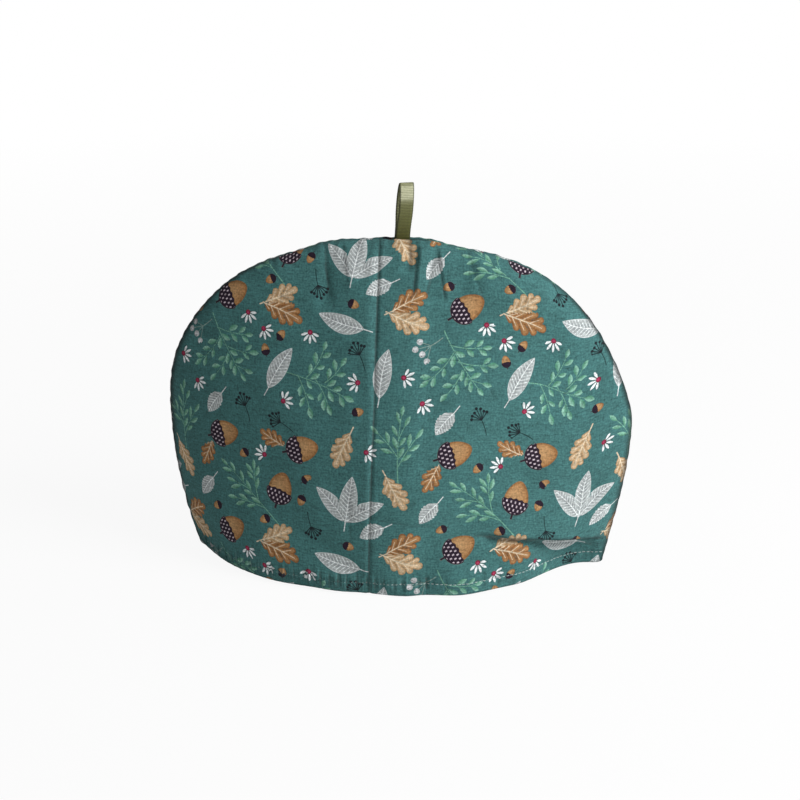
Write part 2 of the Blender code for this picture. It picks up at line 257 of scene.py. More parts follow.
CREASE_SWELL = 34.0 * MM    # the cloth rises toward the left of the crease over this far
SLIT_SHADE = 0.6            # darkness along the foot of a deep sharp fold
SLIT_DEPTH = 1.7 * MM       # a fold this deep is as dark as that
SLIT_HALF = 0.8 * MM        # half width of that dark line
SEAM_SHADE = np.array([
    # share of the seam from the left of the hem, darkness of the seam, how far its shade reaches in (mm)
    (0.0, 0.85, 6.0), (0.08, 0.9, 7.0), (0.14, 0.9, 9.0), (0.21, 0.88, 6.0), (0.3, 0.75, 2.2),
    (0.39, 0.35, 1.8), (0.45, 0.0, 1.0), (0.63, 0.0, 1.0), (0.71, 0.7, 1.8), (0.79, 0.8, 3.4),
    (0.87, 0.85, 5.5), (1.0, 0.8, 5.0),
])
BACK_FOLDS = [
    ("pressed crease", -10.0, 246.0, -6.5, -60.0, -1.4, 4.0),
    ("left pleat hollow", -44.0, 243.0, -52.0, 200.0, -1.6, 6.0),
    ("middle pleat hollow", 22.0, 247.0, 26.0, 208.0, -1.8, 5.0),
    ("right pleat ridge", 56.0, 238.0, 62.0, 204.0, 1.3, 6.0),
    ("slack hollow", -118.0, 70.0, -60.0, 48.0, -2.0, 12.0),
]
BACK_WRINKLES = [
    ("line of the crease", -10.0, 246.0, -6.5, -60.0, -0.5, 1.4, 1.4),
]
FOLD_FADE = 0.22            # share of a fold's length over which its far end runs out
CRISP = 1.1                 # softness of the wrinkles, which were pressed in


def fold_relief(x, z, folds, softness=2.0):
    """How far the folds stand out at each spot. Softness 2 gives a round ridge, and 1 a sharp one."""
    relief = np.zeros_like(x)
    for _name, x0, z0, x1, z1, out, *widths in folds:
        start, along = np.array((x0, z0)) * MM, np.array((x1 - x0, z1 - z0)) * MM
        length = math.hypot(*along)
        along /= length
        t = ((x - start[0]) * along[0] + (z - start[1]) * along[1]) / length
        off = (x - start[0]) * along[1] - (z - start[1]) * along[0]
        ends = ease(t / FOLD_FADE + 1.0) * ease((1.0 - t) / FOLD_FADE)
        half_width = np.where(off > 0.0, widths[0], widths[-1]) * MM
        relief += out * MM * ends * np.exp(-(np.abs(off) / half_width) ** softness)
    return relief


def row_at(place, rows):
    """Columns of a table, other than its first, at each place, with straight steps from row to row."""
    return [np.interp(place, rows[:, 0], column) for column in rows.T[1:]]


def crease_relief(x, z):
    """The crease down the front: its left side stands higher, and a narrow notch runs along its foot."""
    across, step, left, notch, right = row_at(z, CREASE_LINE)
    off = x - across
    swell = (step - notch) * (1.0 - ease((-off - left) / CREASE_SWELL))
    drop = step * np.clip(1.0 + off / left, 0.0, 1.0) ** 2
    return np.where(off < 0.0, swell - drop, -notch * np.clip(1.0 - off / right, 0.0, 1.0) ** 2)


def shaded_share(side, x, z, seam_distance, seam_place, wrinkles):
    """How dark the cloth is at each spot, from 0 to 1, at the seam and along the foot of each sharp fold."""
    slits = []
    for *row, out, _left, _right in wrinkles:
        if out < 0.0:
            slits.append((*row, min(-out * MM / SLIT_DEPTH, 1.0), SLIT_HALF / MM * max(1.0, -out)))
    dark = fold_relief(x, z, slits) / MM
    if side < 0:
        across, _step, _left, notch, _right = row_at(z, CREASE_LINE)
        dark += notch / SLIT_DEPTH * np.exp(-((x - across) / SLIT_HALF) ** 2)
    darkness, reach = row_at(seam_place / SEAM_RUN[-1], SEAM_SHADE)
    at_seam = darkness * (1.0 - ease(seam_distance / (reach * MM)))
    return 1.0 - (1.0 - SLIT_SHADE * np.minimum(dark, 1.0)) * (1.0 - at_seam)


print("folds:", len(FRONT_FOLDS + FRONT_WRINKLES), "in front,", len(BACK_FOLDS + BACK_WRINKLES), "behind")

# %% [markdown]
# ## Puckers and slack
#
# Two things tell sewn cloth from plastic: it puckers along every line of stitches, and it is never quite
# even in between. The puckers are short ripples that run across the seam and the hem and die out within a
# centimetre. The slack is a dozen or so long, shallow waves with seeded directions, so it is the same in
# each run. Both could be bump in the material, but an outline or the edge of a shadow shows real shape only.

# %% Puckers and slack
SLACK_WAVES, SLACK_HEIGHT = 14, 0.10 * MM
SLACK_SHORTEST, SLACK_LONGER = 28.0 * MM, 60.0 * MM     # least length of a wave, and how much longer some are
RIPPLE_WAVES = 9
RIPPLE_SHORTEST, RIPPLE_LONGER = 0.55, 1.3      # the same as shares of a ripple's own length
SEAM_RIPPLE, SEAM_RIPPLE_HEIGHT = 9.0 * MM, 0.34 * MM
SEAM_RIPPLE_REACH = 6.5 * MM                    # how far in from the seam the ripple runs
SEAM_CALM, HEM_CALM = 1.2 * MM, 3.0 * MM        # from the seam, where its own ripple and the hem's begin
STITCH_HEIGHT = 9.7 * MM    # the hem's row of stitches, above the lower edge
GROOVE_DEPTH, GROOVE_WIDTH = 0.55 * MM, 1.1 * MM
HEM_RIPPLE, HEM_RIPPLE_HEIGHT = 6.5 * MM, 0.34 * MM
HEM_RIPPLE_REACH = 5.5 * MM                     # how far above and below the stitches the ripple runs
GATHER, GATHER_HEIGHT = 3.8 * MM, 1.3 * MM      # the short steep puckers of the loose part of the hem
SMOOTH_HEM, LOOSE_HEM = 70.0 * MM, -40.0 * MM   # across: the hem is puckered more and more to its left


def slack(x, z, seed):
    """Shallow uneven waves of the padding, in metres."""
    chance = np.random.default_rng(seed)
    height = np.zeros_like(x)
    for _ in range(SLACK_WAVES):
        length = SLACK_SHORTEST + SLACK_LONGER * chance.random()
        turn, shift = chance.random(2) * 2.0 * math.pi
        height += np.sin((x * math.cos(turn) + z * math.sin(turn)) * 2.0 * math.pi / length + shift)
    return height * SLACK_HEIGHT


def ripple(run, seed, length):
    """Uneven ripple along a line of stitches, mostly from -1 to 1."""
    chance = np.random.default_rng(seed)
    lengths = length * (RIPPLE_SHORTEST + RIPPLE_LONGER * chance.random(RIPPLE_WAVES))
    shifts = chance.random(RIPPLE_WAVES) * 2.0 * math.pi
    waves = np.sin(run[:, None] * 2.0 * math.pi / lengths + shifts)
    return waves.sum(axis=1) / (0.5 * RIPPLE_WAVES)


def loose_share(x):
    """How loose and puckered the hem is at a place across, from 0 to 1."""
    return ease((SMOOTH_HEM - x) / (SMOOTH_HEM - LOOSE_HEM))


def puckers(x, z, seam_distance, seam_place, seed):
    """Ripples along the seam and the hem, with the groove that the hem's stitches pull in."""
    seam = ripple(seam_place, seed, SEAM_RIPPLE) * SEAM_RIPPLE_HEIGHT
    seam *= np.exp(-(seam_distance / SEAM_RIPPLE_REACH) ** 1.3)
    from_stitches = z + HEM_FALL - STITCH_HEIGHT
    hem = ripple(x, seed + 1, HEM_RIPPLE) * HEM_RIPPLE_HEIGHT
    hem += ripple(x, seed + 2, GATHER) * GATHER_HEIGHT * loose_share(x)
    hem *= np.exp(-(from_stitches / HEM_RIPPLE_REACH) ** 2)
    groove = GROOVE_DEPTH * np.exp(-(from_stitches / GROOVE_WIDTH) ** 2)
    return seam * ease(seam_distance / SEAM_CALM) + (hem - groove) * ease(seam_distance / HEM_CALM)


print("row of hem stitches:", round(STITCH_HEIGHT / MM, 1), "mm above the edge")

# %% [markdown]
# ## The mesh of a panel
#
# A plain lattice of squares would meet the arch in steps. So the panel is divided like a woven basket: a
# core of squares in the middle, and rings round it that bend gradually into the line of the seam. The rings
# lie closest at the seam, where the cloth rolls over tightly. The inner face is plain, so it uses every
# second line of the same lattice. Blender's own grid fill would make a like mesh, but here each row has a
# known number, which the later steps ask for.

# %% Divide the arch into cells
CREASE_X = -11.5 * MM       # a line of cells lies along the pressed crease
CORE_STEP = 0.79 * MM
CORE_LEFT, CORE_RIGHT = 86, 104      # steps of the core on either side of the crease
CORE_HEIGHT = 125.0 * MM
SIDE_STEPS = 120
SIDE_CROWDING = 0.35        # steps are closer by this share at the hem
TOP_SPREAD = 0.58           # steps widen by this share from the crease to the right shoulder
INNER_ROWS = 91
EDGE_ROWS_MM = (0.0, 0.25, 0.7, 1.3, 2.1, 3.1, 4.3, 5.7, 6.8, 8.0)


def ring_stations():
    """Matching points on the seam and on the core's outline, from the left of the hem to the right."""
    steps = np.arange(-CORE_LEFT, CORE_RIGHT + 1)
    core_x = CREASE_X + CORE_STEP * steps
    seam_x = CREASE_X + CORE_STEP * steps * (1.0 + TOP_SPREAD * (steps / CORE_RIGHT) ** 2)
    top = len(SEAM) // 4, 3 * len(SEAM) // 4
    places = np.interp(seam_x, SEAM[top[0]:top[1], 0], np.arange(*top))
    side = np.linspace(0.0, 1.0, SIDE_STEPS + 1)
    side = side * (1.0 - SIDE_CROWDING) + SIDE_CROWDING * side ** 2
    end = len(SEAM) - 1
    places = np.concatenate((side[:-1] * places[0], places, end - (end - places[-1]) * side[-2::-1]))
    seam = np.stack([np.interp(places, np.arange(len(SEAM)), SEAM[:, i]) for i in (0, 1)], axis=1)
    height = side * CORE_HEIGHT
    core = np.concatenate((
        np.stack([np.full(SIDE_STEPS, core_x[0]), height[:-1]], axis=1),
        np.stack([core_x, np.full(len(core_x), CORE_HEIGHT)], axis=1),
        np.stack([np.full(SIDE_STEPS, core_x[-1]), height[-2::-1]], axis=1),
    ))
    return seam, core


def panel_grid():
    """Points (x, z), the rows of point numbers that run round the rings, and those of the core."""
    seam, core = ring_stations()
    reach = np.hypot(*(core - seam).T)
    edge = np.array(EDGE_ROWS_MM) * MM
    points, rings = [], []
    for row in range(len(edge) + INNER_ROWS):
        if row < len(edge):
            inward = np.full(len(seam), edge[row])
        else:
            inward = edge[-1] + (reach - edge[-1]) * (row - len(edge) + 1) / INNER_ROWS
        rings.append(np.arange(len(seam)) + sum(map(len, points)))
        points.append(seam + (core - seam) * (inward / reach)[:, None])
    last, across = rings[-1], CORE_LEFT + CORE_RIGHT
    middle = np.zeros((SIDE_STEPS + 1, across + 1), int)
    middle[:, 0], middle[:, -1] = last[:SIDE_STEPS + 1], last[::-1][:SIDE_STEPS + 1]
    middle[-1] = last[SIDE_STEPS:SIDE_STEPS + across + 1]
    inner_x, inner_z = core[SIDE_STEPS + 1:SIDE_STEPS + across, 0], core[:SIDE_STEPS, 1]
    middle[:-1, 1:-1] = np.arange(len(inner_x) * len(inner_z)).reshape(len(inner_z), -1) + last[-1] + 1
    points.append(np.stack(np.meshgrid(inner_x, inner_z), axis=-1).reshape(-1, 2))
    return np.concatenate(points), np.array(rings), middle


def cells(rows):
    """Four-sided faces between neighbouring rows of point numbers."""
    return np.stack([rows[:-1, :-1], rows[:-1, 1:], rows[1:, 1:], rows[1:, :-1]], axis=-1).reshape(-1, 4)


GRID, RINGS, CORE = panel_grid()
GRID_CELLS = np.concatenate((cells(RINGS), cells(CORE[::-1])))
INNER_CELLS = np.concatenate((cells(RINGS[::2, ::2]), cells(CORE[::-2, ::2])))
SEAM_ROW = RINGS[0]
HEM_ROW = np.concatenate((RINGS[:-1, 0], CORE[0], RINGS[-2::-1, -1]))
SEAM_DISTANCE, SEAM_PLACE = seam_nearest(GRID[:, 0], GRID[:, 1])
SEAM_DISTANCE[SEAM_ROW] = 0.0
print("cells of a panel's outer face:", len(GRID_CELLS), "and of its inner face:", len(INNER_CELLS))

# %% [markdown]
# ## From flat cut to panel
#
# The outer face takes its depth from the rules above. The inner face lies one wall's thickness behind it,
# along the surface normals of a smoothed body, because the padding evens the folds out. The stitches of the
# seam draw the rim in and out a little, so its outline is never a clean arc. Two narrow bands close the
# form: at the seam the cloth turns in to the seam's plane, and at the hem it rounds under. The result is
# one closed mesh for each panel, as the real one is one padded layer.

# %% Shape a panel
LOOP_X = 3.3 * MM           # middle of the ribbon where it leaves the seam
RIBBON_THICK = 1.0 * MM
RIBBON_SPACE = 0.45 * MM    # left free on each side of the ribbon's own thickness
SEAM_OPEN_FULL, SEAM_OPEN_END = 11.0 * MM, 26.0 * MM    # the seam opens gently around the ribbon
SEAM_HALF_GAP = 0.005 * MM  # so narrow that no light comes through the seam
SCALLOP, SCALLOP_LENGTH = 0.36 * MM, 13.0 * MM      # the stitches draw the rim in and out this far
SCALLOP_WIDTH = 5.0 * MM    # how far in from the rim that is felt
WRINKLE_CLEAR = 4.0 * MM    # wrinkles run out this far from the seam
SMOOTHED = 0.35             # share of the soft folds that shows on the inner face
LEVEL_HEM = 14.0 * MM       # below this height the inner face turns level, so that the hem stands flat
TURN_IN = [
    # share of the turned edge's depth, how far in from the outline (mm): the cloth rolls into the seam
    (0.62, 0.14), (0.30, 0.5), (0.0, 1.1),
]
HEM_BANDS = 7               # rows of the rounded lower edge
TURNED_HEM = 11.5 * MM      # height of the doubled cloth inside the hem
HEM_STEP = 0.6 * MM         # thickness of that doubled cloth
HEM_STEP_SOFT = 0.8 * MM    # height over which its raw edge runs out


def seam_opening(x):
    """Half the space between the panels at the seam: wider where the ribbon lies between them."""
    around_ribbon = RIBBON_THICK + RIBBON_SPACE
    near = 1.0 - ease((np.abs(x - LOOP_X) - SEAM_OPEN_FULL) / (SEAM_OPEN_END - SEAM_OPEN_FULL))
    return SEAM_HALF_GAP + (around_ribbon - SEAM_HALF_GAP) * near


def scalloped_places():
    """The grid's places, with the rim drawn in and out a little by the stitches of the seam."""
    sway = ripple(SEAM_PLACE[SEAM_ROW], 5, SCALLOP_LENGTH) * SCALLOP
    felt = np.exp(-(SEAM_DISTANCE[RINGS] / SCALLOP_WIDTH) ** 2)
    places = GRID.copy()
    places[RINGS] += felt[..., None] * square_to(GRID[SEAM_ROW]) * sway[:, None]
    return places


def surface_normals(points, faces):
    """Average normal of the cells round each point."""
    a, b, c, d = (points[faces[:, i]] for i in range(4))
    face = np.cross(c - a, d - b)
    total = np.stack([np.bincount(faces.ravel(), np.repeat(face[:, i], 4), len(points)) for i in range(3)], 1)
    return total / np.linalg.norm(total, axis=1, keepdims=True)


def shape_panel(side, folds, wrinkles, pinch, seed):
    """Outer and inner points of a panel. side is -1 at the front and 1 at the back."""
    x, z = GRID.T
    opening = seam_opening(x)
    body, free = body_depth(x, z, SEAM_DISTANCE, pinch)
    soft = fold_relief(x, z, folds)
    sharp = fold_relief(x, z, wrinkles, CRISP)
    if side < 0:
        sharp += crease_relief(x, z)
    relief = free * (soft + slack(x, z, seed)) + ease(SEAM_DISTANCE / WRINKLE_CLEAR) * sharp
    relief += puckers(x, z, SEAM_DISTANCE, SEAM_PLACE, seed)
    rim_x, rim_z = scalloped_places().T
    outer = np.stack([rim_x, side * (body + opening + relief), rim_z + HEM_FALL], axis=1)
    plain = np.stack([x, side * (body + opening + SMOOTHED * free * soft), z + HEM_FALL], axis=1)
    normals = surface_normals(plain, GRID_CELLS) * -side
    if side * normals[len(normals) // 2, 1] < 0:
        normals *= -1.0
    normals[:, 2] *= ease(z / LEVEL_HEM)
    normals /= np.linalg.norm(normals, axis=1, keepdims=True)
    wall = WALL - HEM_STEP * ease((z + HEM_FALL - TURNED_HEM) / HEM_STEP_SOFT)
    inner = plain - normals * wall[:, None]
    inner[:, 1] = side * np.maximum(side * inner[:, 1], opening)
    inner[HEM_ROW, 2] = HEM_FALL
    return outer, inner


front_outer, front_inner = shape_panel(-1.0, FRONT_FOLDS, FRONT_WRINKLES, 0.95, 11)
back_outer, back_inner = shape_panel(1.0, BACK_FOLDS, BACK_WRINKLES, 0.5, 23)
print("front panel reaches", round(-front_outer[:, 1].min() / MM, 1), "mm forward")

# %% [markdown]
# ## The flat cut
#
# A print is made on flat cloth, so a motif on the finished cosy is bent, and not stretched. To print the
# panel here, its outer face is first laid flat: each edge of the mesh is a small spring that wants its true
# length, and the springs are let settle on a table. The flat places become a UV map in metres, called Cut.
# Blender's own unwrap would do, but it gives no sizes, and these also tell how large the cut piece was.

# %% Lay a panel flat
GAUGE_WIDTH, GAUGE_HEIGHT = 0.172, 0.246    # half width and height of a coarse lattice over the panel
GAUGE_STEP = 2.0 * MM
SETTLING_ROUNDS = 260
SPRING = 1.6                # a point moves by this many times the mean of what its springs ask for
SPRINGS_OF_A_CELL = ((0, 1), (1, 2), (2, 3), (3, 0), (0, 2), (1, 3))


def first_guess(points):
    """First guess at the flat places: lengths measured along the cloth, across and up."""
    xs = np.linspace(-GAUGE_WIDTH, GAUGE_WIDTH, round(2.0 * GAUGE_WIDTH / GAUGE_STEP) + 1)
    zs = np.linspace(0.0, GAUGE_HEIGHT, round(GAUGE_HEIGHT / GAUGE_STEP) + 1)
    tree = search_tree(points[:, [0, 2]] - (0.0, HEM_FALL))
    y = np.array([[points[tree.find((a, b, 0.0))[1], 1] for a in xs] for b in zs])
    across, up = np.zeros_like(y), np.zeros_like(y)
    across[:, 1:] = np.cumsum(np.hypot(np.diff(xs), np.diff(y, axis=1)), axis=1)
    across -= across[:, [len(xs) // 2]]
    up[1:] = np.cumsum(np.hypot(np.diff(zs)[:, None], np.diff(y, axis=0)), axis=0)
    col = np.clip((points[:, 0] - xs[0]) / (xs[1] - xs[0]), 0, len(xs) - 1.001)
    row = np.clip((points[:, 2] - HEM_FALL) / (zs[1] - zs[0]), 0, len(zs) - 1.001)
    i, j, s, t = row.astype(int), col.astype(int), row % 1.0, col % 1.0
    return np.stack([(1 - s) * ((1 - t) * m[i, j] + t * m[i, j + 1])
                     + s * ((1 - t) * m[i + 1, j] + t * m[i + 1, j + 1]) for m in (across, up)], axis=1)


def lay_flat(points):
    """Flat places of the points, with lengths kept as well as a flat sheet can."""
    pairs = np.concatenate([GRID_CELLS[:, ends] for ends in SPRINGS_OF_A_CELL])
    pairs = np.unique(np.sort(pairs, axis=1), axis=0)
    true = np.linalg.norm(points[pairs[:, 0]] - points[pairs[:, 1]], axis=1)
    flat = first_guess(points)
    count = np.bincount(pairs.ravel(), minlength=len(points))[:, None]
    for _ in range(SETTLING_ROUNDS):
        apart = flat[pairs[:, 1]] - flat[pairs[:, 0]]
        length = np.linalg.norm(apart, axis=1)
        pull = apart * (0.5 * (1.0 - true / np.maximum(length, 1e-9)))[:, None]
        move = np.stack([np.bincount(pairs[:, 0], pull[:, i], len(points))
                         - np.bincount(pairs[:, 1], pull[:, i], len(points)) for i in (0, 1)], axis=1)
        flat += SPRING * move / count
    kept = np.linalg.norm(flat[pairs[:, 1]] - flat[pairs[:, 0]], axis=1) / true
    print("flat piece:", np.round(np.ptp(flat, axis=0) / MM, 1), "mm; nearly all lengths kept within",
          np.round(np.percentile(kept, (2, 98)), 3))
    return flat


front_flat = lay_flat(front_outer)
back_flat = lay_flat(back_outer) * (-1.0, 1.0)

# %% [markdown]
# ## Plan of the print
#
# The cotton has a woodland print of leaves, acorns, sprigs and daisies, scattered close together. A printer
# cuts such a pattern once and repeats it along the cloth. So the plan here is one square repeat, which
# joins up with itself on all sides. Every motif is a few strips: a strip is one leaf, acorn or flower with
# its size, its turn and the length of cloth that it covers.
#
# Sprigs are grown and not drawn. A branch bends a little at each step and bears leaflets on its two sides
# in turn, and a leaflet is left out where it would touch another.

# %% Grow the sprigs
LEAF, SMALL_LEAF, OAK, ACORN, LEAFLET, SLIM_LEAFLET, UMBEL, DAISY, BERRIES = range(1, 10)
STALK = 1.3                 # length of a leaflet's stalk, in millimetres like all of the print
STALK_HALF = 0.18           # half width of that stalk
STEM_HALF, STEM_TAPER = 0.34, 0.14      # half width of a stem at its foot, and what it loses to its tip
LEAFLET_ROOM = 0.35         # least space between two leaflets of a sprig
LEAFLET_CLEAR = 0.25        # and between a leaflet and a stem
BARE_FOOT = 0.3             # share of the main stem that bears no leaflets
LEAFLET_LEAST, LEAFLET_MORE = 0.86, 0.28    # least size of a leaflet, and how much larger some are
LEAFLET_SWAY = 7.0          # how unevenly they lean, in degrees


def along_turn(angle):
    """Unit step in a direction given in degrees, turned left from straight up."""
    return np.array([-math.sin(math.radians(angle)), math.cos(math.radians(angle))])


def off_line(spots, lines):
    """Distance of each spot from each line of (x, y, x, y, half width)."""
    start, along = lines[:, 0:2], lines[:, 2:4] - lines[:, 0:2]
    share = np.sum((spots[:, None] - start) * along, axis=2) / np.sum(along * along, axis=1)
    nearest = start + np.clip(share, 0.0, 1.0)[..., None] * along
    return np.linalg.norm(spots[:, None] - nearest, axis=2)


def grow_sprig(seed, kind, branches, step, slant, length, half):
    """Leaflets, as strips, and stem lines of one sprig. branches holds (x, y, angle, length, bend) rows."""
    chance = np.random.default_rng(seed)
    lines, buds = [], []
    for x, y, angle, reach, bend in branches:
        at, run = np.array([x, y]), 0.0
        side = 1.0 if chance.random() < 0.5 else -1.0
        while run < reach - 0.5:
            ahead = at + along_turn(angle) * step / 2.0
            lines.append([*at, *ahead, STEM_HALF - STEM_TAPER * run / reach])
            at, run, angle = ahead, run + step / 2.0, angle + bend * step / reach / 2.0
            side = -side
            if run > BARE_FOOT * reach or y > 0.0:
                buds.append((1, *at, angle + side * (slant + LEAFLET_SWAY * chance.standard_normal())))
        buds.append((0, *at, angle))
    lines, stem_count = np.array(lines), len(lines)
    strips, taken = [], np.zeros((0, 2))
    for order, x, y, angle in sorted(buds, key=lambda bud: bud[0]):
        size = LEAFLET_LEAST + LEAFLET_MORE * chance.random()
        base = np.array([x, y]) + along_turn(angle) * STALK
        spots = base + along_turn(angle) * np.array([[0.3], [0.6], [0.9]]) * length * size
        clear = off_line(spots[1:], lines[:stem_count]).min() > half + LEAFLET_CLEAR
        if len(taken):
            clear &= np.linalg.norm(spots[:, None] - taken, axis=2).min() > 2.0 * half + LEAFLET_ROOM
        if clear or order == 0:
            strips.append((kind, chance.random(), angle, size, 0.0, length * size, half * size, *base))
            lines = np.concatenate((lines, [[x, y, *base, STALK_HALF]]))
            taken = np.concatenate((taken, spots))
    return strips, lines


# Stems of each sprig: foot (x, y), direction, length, and by how much it bends on its way, in degrees.
bushy_stems = [(0, -16, 2, 46, 12), (0, -5, 50, 21, 20), (-0.4, 1, -52, 24, -26), (-0.8, 8, 46, 19, 22),
               (-1.2, 15, -44, 16, -20), (-1.6, 21, 40, 10, 12)]
other_bush = [(0, -16, -3, 46, -16), (0.4, -5, -54, 22, -16), (0.7, 2, 52, 22, 26), (1.1, 9, -46, 18, -20),
              (1.8, 16, 42, 15, 20)]
slim_stems = [(0, -15, 0, 54, 10), (-0.1, 0, 30, 22, 16), (-0.5, 8, -28, 20, -14), (-1.1, 18, 26, 12, 10)]
other_slim = [(0, -14, 0, 50, -14), (0.3, 1, -30, 22, -12), (0.8, 10, 28, 18, 14), (1.8, 19, -24, 11, -8)]
BUSHES = [grow_sprig(5, LEAFLET, stems, 4.4, 42.0, 8.0, 1.6) for stems in (bushy_stems, other_bush)]
SLIM_SPRIGS = [grow_sprig(8, SLIM_LEAFLET, stems, 4.6, 27.0, 9.4, 1.35) for stems in (slim_stems, other_slim)]
print("leaflets of each sprig:", [len(strips) for strips, _lines in BUSHES + SLIM_SPRIGS])

# %% [markdown]
# ## Scattering the motifs
#
# The script throws each motif down many times and keeps the spot with the most room, which is how a
# designer spreads them by eye. Large motifs come first, and the small ones fill the gaps. Distances are
# taken over the edge of the repeat, so that it joins up with itself.

# %% Scatter the motifs over one repeat
REPEAT = 176.0              # side of the square repeat
SORTS = [
    # count, then the strips: kind, tone, turn (degrees), size, from y, to y, half width, base x, base y
    (1, [(LEAF, 0.5, 0, 0.96, -8, 37, 7, 0, 0), (LEAF, 0.95, 50, 0.86, 2, 34, 6.5, -0.6, 1),
         (LEAF, 0.05, -52, 0.86, 2, 34, 6.5, 0.6, 1)], ()),
    *((1, *sprig) for sprig in BUSHES),
    *((1, *sprig) for sprig in SLIM_SPRIGS),
    (1, [(OAK, 0.1, 20, 1.0, -6, 28, 7.5, 0, 0), (OAK, 0.8, -26, 1.05, -2, 29, 8, 2, -1)], ()),
    (1, [(OAK, 0.7, 24, 0.95, -6, 26, 7.5, 0, 0), (OAK, 0.2, -22, 1.1, -2, 30, 8, 2, 0)], ()),
    (1, [(ACORN, 0.1, 0, 1.24, -13, 15, 10, 0, 0), (OAK, 0.2, 138, 0.82, -3, 23, 6, -3.5, -11)], ()),
    (1, [(ACORN, 0.3, 0, 1.24, -13, 15, 10, 0, 0), (OAK, 0.3, -134, 0.85, -3, 24, 6, 3.5, -11)], ()),
    (3, [(LEAF, 0.2, 0, 0.95, -7, 36, 7, 0, 0)], ()),
    (2, [(ACORN, 0.3, 0, 1.24, -13, 15, 10, 0, 0)], ()),
    (2, [(OAK, 0.7, 0, 1.0, -6, 28, 8, 0, 0)], ()),
    (1, [(BERRIES, 0.5, 0, 1.0, -10, 14, 7, 0, 0)], ()),
    (3, [(SMALL_LEAF, 0.7, 0, 0.95, -6, 21, 6.5, 0, 0)], ()),
    (4, [(UMBEL, 0.5, 0, 1.05, -10, 9, 5, 0, 0)], ()),
    (9, [(DAISY, 0.5, 0, 1.0, -2, 8, 6, 0, 0)], ()),
    (9, [(ACORN, 0.8, 0, 0.42, -5, 5, 3.5, 0, 0)], ()),
]
TRIES = 420


def moved(places, centre, turn):
    """Points (x, y) turned in degrees and moved to a centre."""
    sin, cos = math.sin(math.radians(turn)), math.cos(math.radians(turn))
    return places @ np.array([[cos, sin], [-sin, cos]]) + centre


def strip_discs(strip):
    """Discs (x, y, radius) that cover one strip of a motif."""
    _kind, _tone, turn, _size, low, high, half, x, y = strip
    at = np.arange(low + 0.6 * half, high - 0.4 * half, 0.8 * half)
    at = at if len(at) else np.array([0.5 * (low + high)])
    return np.column_stack((np.array([x, y]) + along_turn(turn) * at[:, None], np.full(len(at), float(half))))


def scatter(seed):
    """Strips (kind, tone, x, y, turn, size, from y, to y, half width) and stem lines of one repeat."""
    chance = np.random.default_rng(seed)
    strips_laid, lines_laid, taken, tightest = [], [np.zeros((0, 5))], np.zeros((0, 3)), 99.0
    for count, strips, lines in SORTS:
        own = np.concatenate([strip_discs(strip) for strip in strips])
        for _ in range(count):
            best = None
            for _ in range(TRIES):
                centre, turn = chance.random(2) * REPEAT, chance.random() * 360.0
                spots = moved(own[:, :2], centre, turn)
                apart = spots[:, None] - taken[None, :, :2]
                apart -= REPEAT * np.round(apart / REPEAT)
                gaps = np.hypot(apart[..., 0], apart[..., 1]) - own[:, None, 2] - taken[None, :, 2]
                room = gaps.min() if gaps.size else 99.0
                if best is None or room > best[0]:
                    best = room, centre, turn, spots
            room, centre, turn, spots = best
            tightest = min(tightest, room)
            taken = np.concatenate((taken, np.column_stack((spots, own[:, 2]))))
            for kind, tone, own_turn, size, low, high, half, x, y in strips:
                strips_laid.append((kind, tone, *moved(np.array([x, y]), centre, turn), turn + own_turn,
                                    size, low, high, half))
            if len(lines):
                lines_laid.append(np.column_stack((moved(lines[:, 0:2], centre, turn),
                                                   moved(lines[:, 2:4], centre, turn), lines[:, 4])))
    print(len(strips_laid), "strips in a repeat; tightest gap", round(tightest, 1), "mm")
    return np.array(strips_laid), np.concatenate(lines_laid)


PRINT_PLAN, STEM_PLAN = scatter(seed=4)

# %% [markdown]
# ## Telling each cell its motif
#
# The drawing itself is done later, in the material, by one small node group for each sort of motif. A
# group only needs to know where a spot lies in its motif. So each cell of the mesh is given to the nearest
# motif, and stores that motif's own coordinates at its corners, in millimetres, with the sort and tone as a
# third number. The motifs don't touch, so the places where two neighbours meet are all plain ground. The
# stems of the sprigs are told in the same way, as the nearest line.

# %% Give each cell its motif
def nearest_rows(middle, centres, gap_of):
    """For each cell's middle, the nearest row of a plan, and the way to the cell from that row's centre."""
    chosen, shift = np.zeros(len(middle), int), np.zeros((len(middle), 2))
    for part in np.array_split(np.arange(len(middle)), max(1, len(middle) // 4000)):
        away = middle[part][:, None] - centres[None]
        away -= REPEAT * np.round(away / REPEAT)
        chosen[part] = gap_of(away).argmin(axis=1)
        shift[part] = away[np.arange(len(part)), chosen[part]]
    return chosen, shift


def motif_coordinates(flat):
    """For cells with flat corners (cells, 4, 2) in millimetres: each corner's (x, y, kind and tone)."""
    kind, tone, x, y, turn, size, low, high, half = PRINT_PLAN.T
    sin, cos = np.sin(np.radians(turn)), np.cos(np.radians(turn))

    def gap_of(away):
        along = -sin * away[..., 0] + cos * away[..., 1]
        beside = cos * away[..., 0] + sin * away[..., 1]
        return np.hypot(beside, along - np.clip(along, low, high)) - half

    middle = flat.mean(axis=1)
    chosen, shift = nearest_rows(middle, np.stack([x, y], axis=1), gap_of)
    local = flat - middle[:, None] + shift[:, None]
    sin, cos, scale = sin[chosen][:, None], cos[chosen][:, None], size[chosen][:, None]
    return np.stack([(cos * local[..., 0] + sin * local[..., 1]) / scale,
                     (cos * local[..., 1] - sin * local[..., 0]) / scale,
                     np.broadcast_to((kind + 0.5 * tone)[chosen][:, None], local.shape[:2])], axis=-1)


